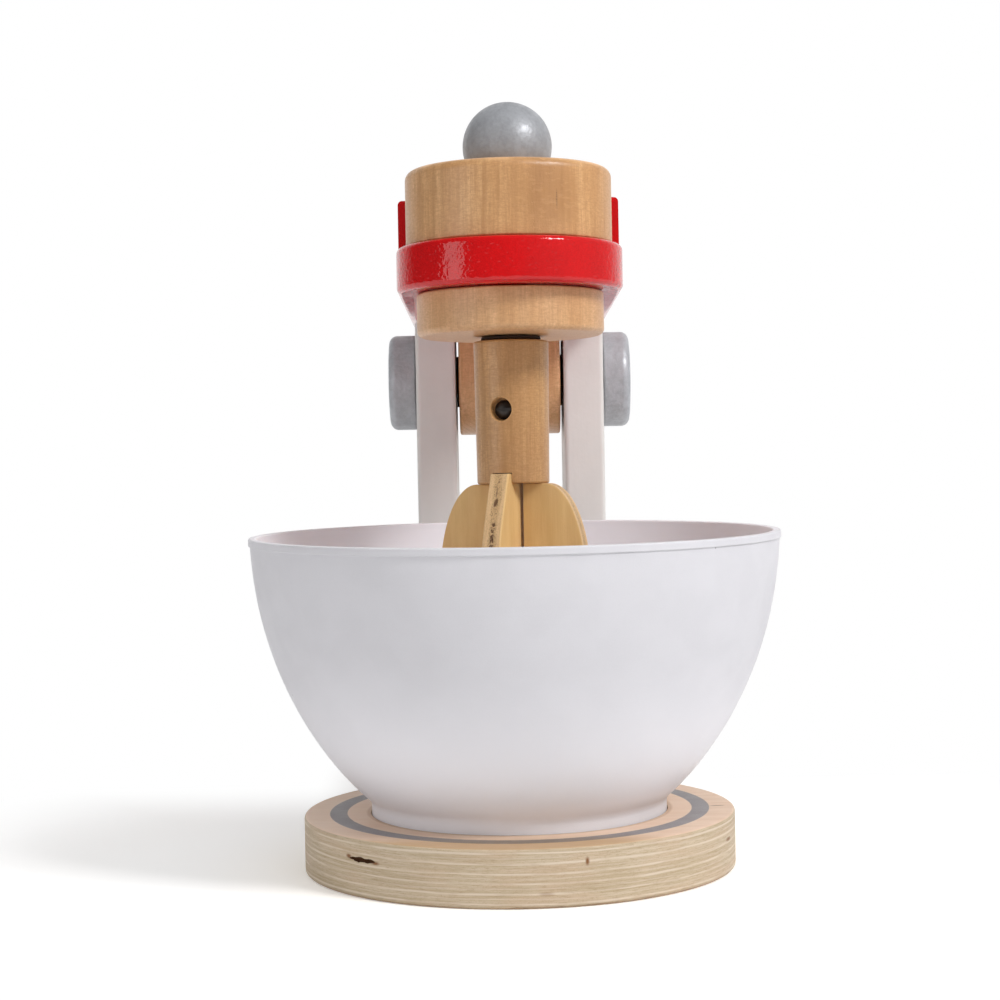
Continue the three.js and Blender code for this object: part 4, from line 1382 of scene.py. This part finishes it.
class MIXER_OT_fasteners(Operator):
    """Makes the screws under the base and finishes the screws and dowels inside the joints"""

    bl_idname = "mixer.fasteners"
    bl_label = "Screws and dowels"
    bl_options = {"REGISTER", "UNDO"}

    def execute(self, context):
        colours = context.scene.mixer_colours
        steel = plain_metal("steel_plated", colours.steel)
        for number, (x, y) in enumerate(BASE_SCREWS, 1):
            place = shift(x, y, BASE_SINK) @ TURN_OVER
            recess = [
                placed(slab(4.4 * MM, 0.9 * MM, 2.4 * MM), place @ Matrix.Rotation(turn, 4, "Z"))
                for turn in (0.4 + number, 0.4 + number + pi / 2)
            ]
            screw = wood_screw(*BASE_SCREW)
            stand_in(f"base_screw_{number}", "steel", screw, place, steel, holes=recess)
        wood = turned_wood("dowel_wood", HEAD, colours.shaft_wood, (3.1, 8.4, 2.5))
        for node in ("pivot_dowel", "spindle", "block_dowel_1", "block_dowel_2"):
            dress(node, wood)
        for node in ("plate_screw_1", "plate_screw_2"):
            dress(node, steel)
        return {"FINISHED"}


# Stage -------------------------------------------------------------------------

WHITE = (1, 1, 1, 1)


def floor_finish(stage):
    """White floor: it takes the object's shadow and fades into the white backdrop. Behind and beside the base the
    fade also paints out part of that shadow, and round the base a warm tint is painted bounce light.
    """
    f = Finish("floor_white")
    seen = f.seen()
    x, y, _ = f.split(f.here)
    from_axis = (x ** 2 + y ** 2) ** 0.5
    # Fades the floor to white away from the object, and also behind and beside the base, where this is painted
    # light over part of the object's shadow
    fade_and_painted_light = f.most(f.ease(from_axis, 135, 245), f.ease(y, 75, 165) * f.ease(abs(x), 55, 80))
    # Painted light: beside gives the floor round the base a warm tint for the camera, standing in for light
    # bounced off the wood
    beside = f.ease(from_axis, 118, 70)
    paper = f.mix(beside * 0.6, (1.0, 0.995, 0.985), (1.0, 0.96, 0.90))
    paper = f.mix(seen, (0.88, 0.875, 0.87), paper)
    sheet = f.add("ShaderNodeBsdfDiffuse", None, {"Color": paper})
    lift = f.add("ShaderNodeEmission", None, {
        "Color": (1, 0.995, 0.985, 1), "Strength": seen * stage.floor_lift,
    })
    near = f.add("ShaderNodeAddShader", None, {0: sheet, 1: lift})
    white = f.add("ShaderNodeEmission", None, {"Color": WHITE, "Strength": 1.0})
    return f.end(f.add("ShaderNodeMixShader", None, {0: fade_and_painted_light * seen, 1: near, 2: white}))


def white_room(stage):
    """Even light, a white backdrop for the lens, and a dimmer room in front for gloss."""
    room = Tree(bpy.data.worlds.new("white_room"))
    x, y, _ = room.split(room.add("ShaderNodeTexCoord", output="Generated"))
    lens = room.add("ShaderNodeLightPath", output="Is Camera Ray")
    white = room.most(lens, room.ease(y, 0.4, 0.9))
    wall = room.ease(x, -0.1, 0.9) * stage.right_side + stage.dim
    light, backdrop = (
        room.add("ShaderNodeBackground", None, {"Color": WHITE, "Strength": strength})
        for strength in (stage.room, room.blend(white, wall, 1.0))
    )
    surface = room.add("ShaderNodeMixShader", None, {0: room.seen(), 1: light, 2: backdrop})
    return room.end(surface, "ShaderNodeOutputWorld")


def lamp(name, power, size, place, gloss=False):
    """A soft box. Only a lamp with gloss shows in reflections."""
    middle = Vector((0, 0, 0.12))
    data = bpy.data.lights.new(name, "AREA")
    data.shape = "RECTANGLE"
    data.size, data.size_y = size
    data.energy = power
    obj = bpy.data.objects.new(name, data)
    bpy.context.scene.collection.objects.link(obj)
    obj.location = place
    obj.rotation_euler = (middle - Vector(place)).to_track_quat("-Z", "Y").to_euler()
    obj.visible_glossy = gloss


def camera_place():
    """The camera's place and turn: just left of the middle, a little above the rim."""
    place = Vector((-5.1, -721.3, 143.7)) * MM
    yaw, pitch, roll = 0.0009, -0.0352, -0.0188
    ahead = Vector((sin(yaw) * cos(pitch), cos(yaw) * cos(pitch), sin(pitch)))
    right = Vector((cos(yaw), -sin(yaw), 0))
    up = right.cross(ahead)
    right, up = right * cos(roll) + up * sin(roll), up * cos(roll) - right * sin(roll)
    return Matrix.Translation(place) @ Matrix((right, up, -ahead)).transposed().to_4x4()


class MIXER_OT_stage(Operator):
    """Sets the floor, the soft light, the white backdrop and the camera"""

    bl_idname = "mixer.stage"
    bl_label = "Floor, light and camera"
    bl_options = {"REGISTER", "UNDO"}

    def execute(self, context):
        scene, stage = context.scene, context.scene.mixer_stage
        shape = bmesh.new()
        bmesh.ops.create_grid(shape, x_segments=1, y_segments=1, size=6.0)
        floor = as_object("floor", shape)
        floor.location.z = -0.05 * MM
        floor.data.materials.append(floor_finish(stage))
        scene.world = white_room(stage)

        lamp("main_lamp", stage.main, (0.38, 0.38), (0.95, -0.72, 1.13), gloss=True)
        lamp("front_lamp", stage.front, (1.6, 0.7), (0.2, -1.6, 0.38))
        lamp("top_lamp", stage.top, (1.4, 1.4), (0.1, -0.2, 1.6))
        lamp("rear_lamp", stage.rear, (1.4, 1.0), (-0.9, 1.5, 0.8))
        lamp("back_lamp", stage.back, (1.2, 1.2), (1.5, 0.35, 0.9))
        lamp("window_lamp", stage.window, (0.42, 0.7), (-0.95, -0.6, 0.36), gloss=True)

        lens = bpy.data.cameras.new("camera")
        lens.sensor_width, lens.lens = 36, 80.3
        lens.clip_start, lens.clip_end = 0.05, 20
        camera = bpy.data.objects.new("camera", lens)
        scene.collection.objects.link(camera)
        camera.matrix_world = camera_place()
        scene.camera = camera
        scene.view_settings.view_transform = "Standard"
        return {"FINISHED"}


# Panel and run -----------------------------------------------------------------

PIECES = (
    MIXER_OT_stage,
    MIXER_OT_base_board,
    MIXER_OT_bowl,
    MIXER_OT_uprights,
    MIXER_OT_pivot,
    MIXER_OT_head_boards,
    MIXER_OT_drum_and_collar,
    MIXER_OT_ball,
    MIXER_OT_beater_shaft,
    MIXER_OT_blades,
    MIXER_OT_fasteners,
)
GROUPS = {
    "mixer_sizes": MixerSizes, "mixer_colours": MixerColours, "mixer_stage": MixerStage,
}


class MIXER_PT_panel(Panel):
    """Lists the pieces, sizes and colours"""

    bl_label = "Toy stand mixer"
    bl_idname = "MIXER_PT_panel"
    bl_space_type = "VIEW_3D"
    bl_region_type = "UI"
    bl_category = "Mixer"

    def draw(self, context):
        column = self.layout.column(align=True)
        for build in PIECES:
            column.operator(build.bl_idname)
        for place, kind in GROUPS.items():
            box = self.layout.box().column()
            for name in kind.__annotations__:
                box.prop(getattr(context.scene, place), name)


CLASSES = (*GROUPS.values(), *PIECES, MIXER_PT_panel)


def register():
    for kind in CLASSES:
        bpy.utils.register_class(kind)
    for place, kind in GROUPS.items():
        setattr(bpy.types.Scene, place, PointerProperty(type=kind))


def unregister():
    for place in GROUPS:
        delattr(bpy.types.Scene, place)
    for kind in reversed(CLASSES):
        bpy.utils.unregister_class(kind)


def main():
    register()
    for build in PIECES:
        group, name = build.bl_idname.split(".")
        getattr(getattr(bpy.ops, group), name)()
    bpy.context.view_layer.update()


if __name__ == "__main__":
    main()
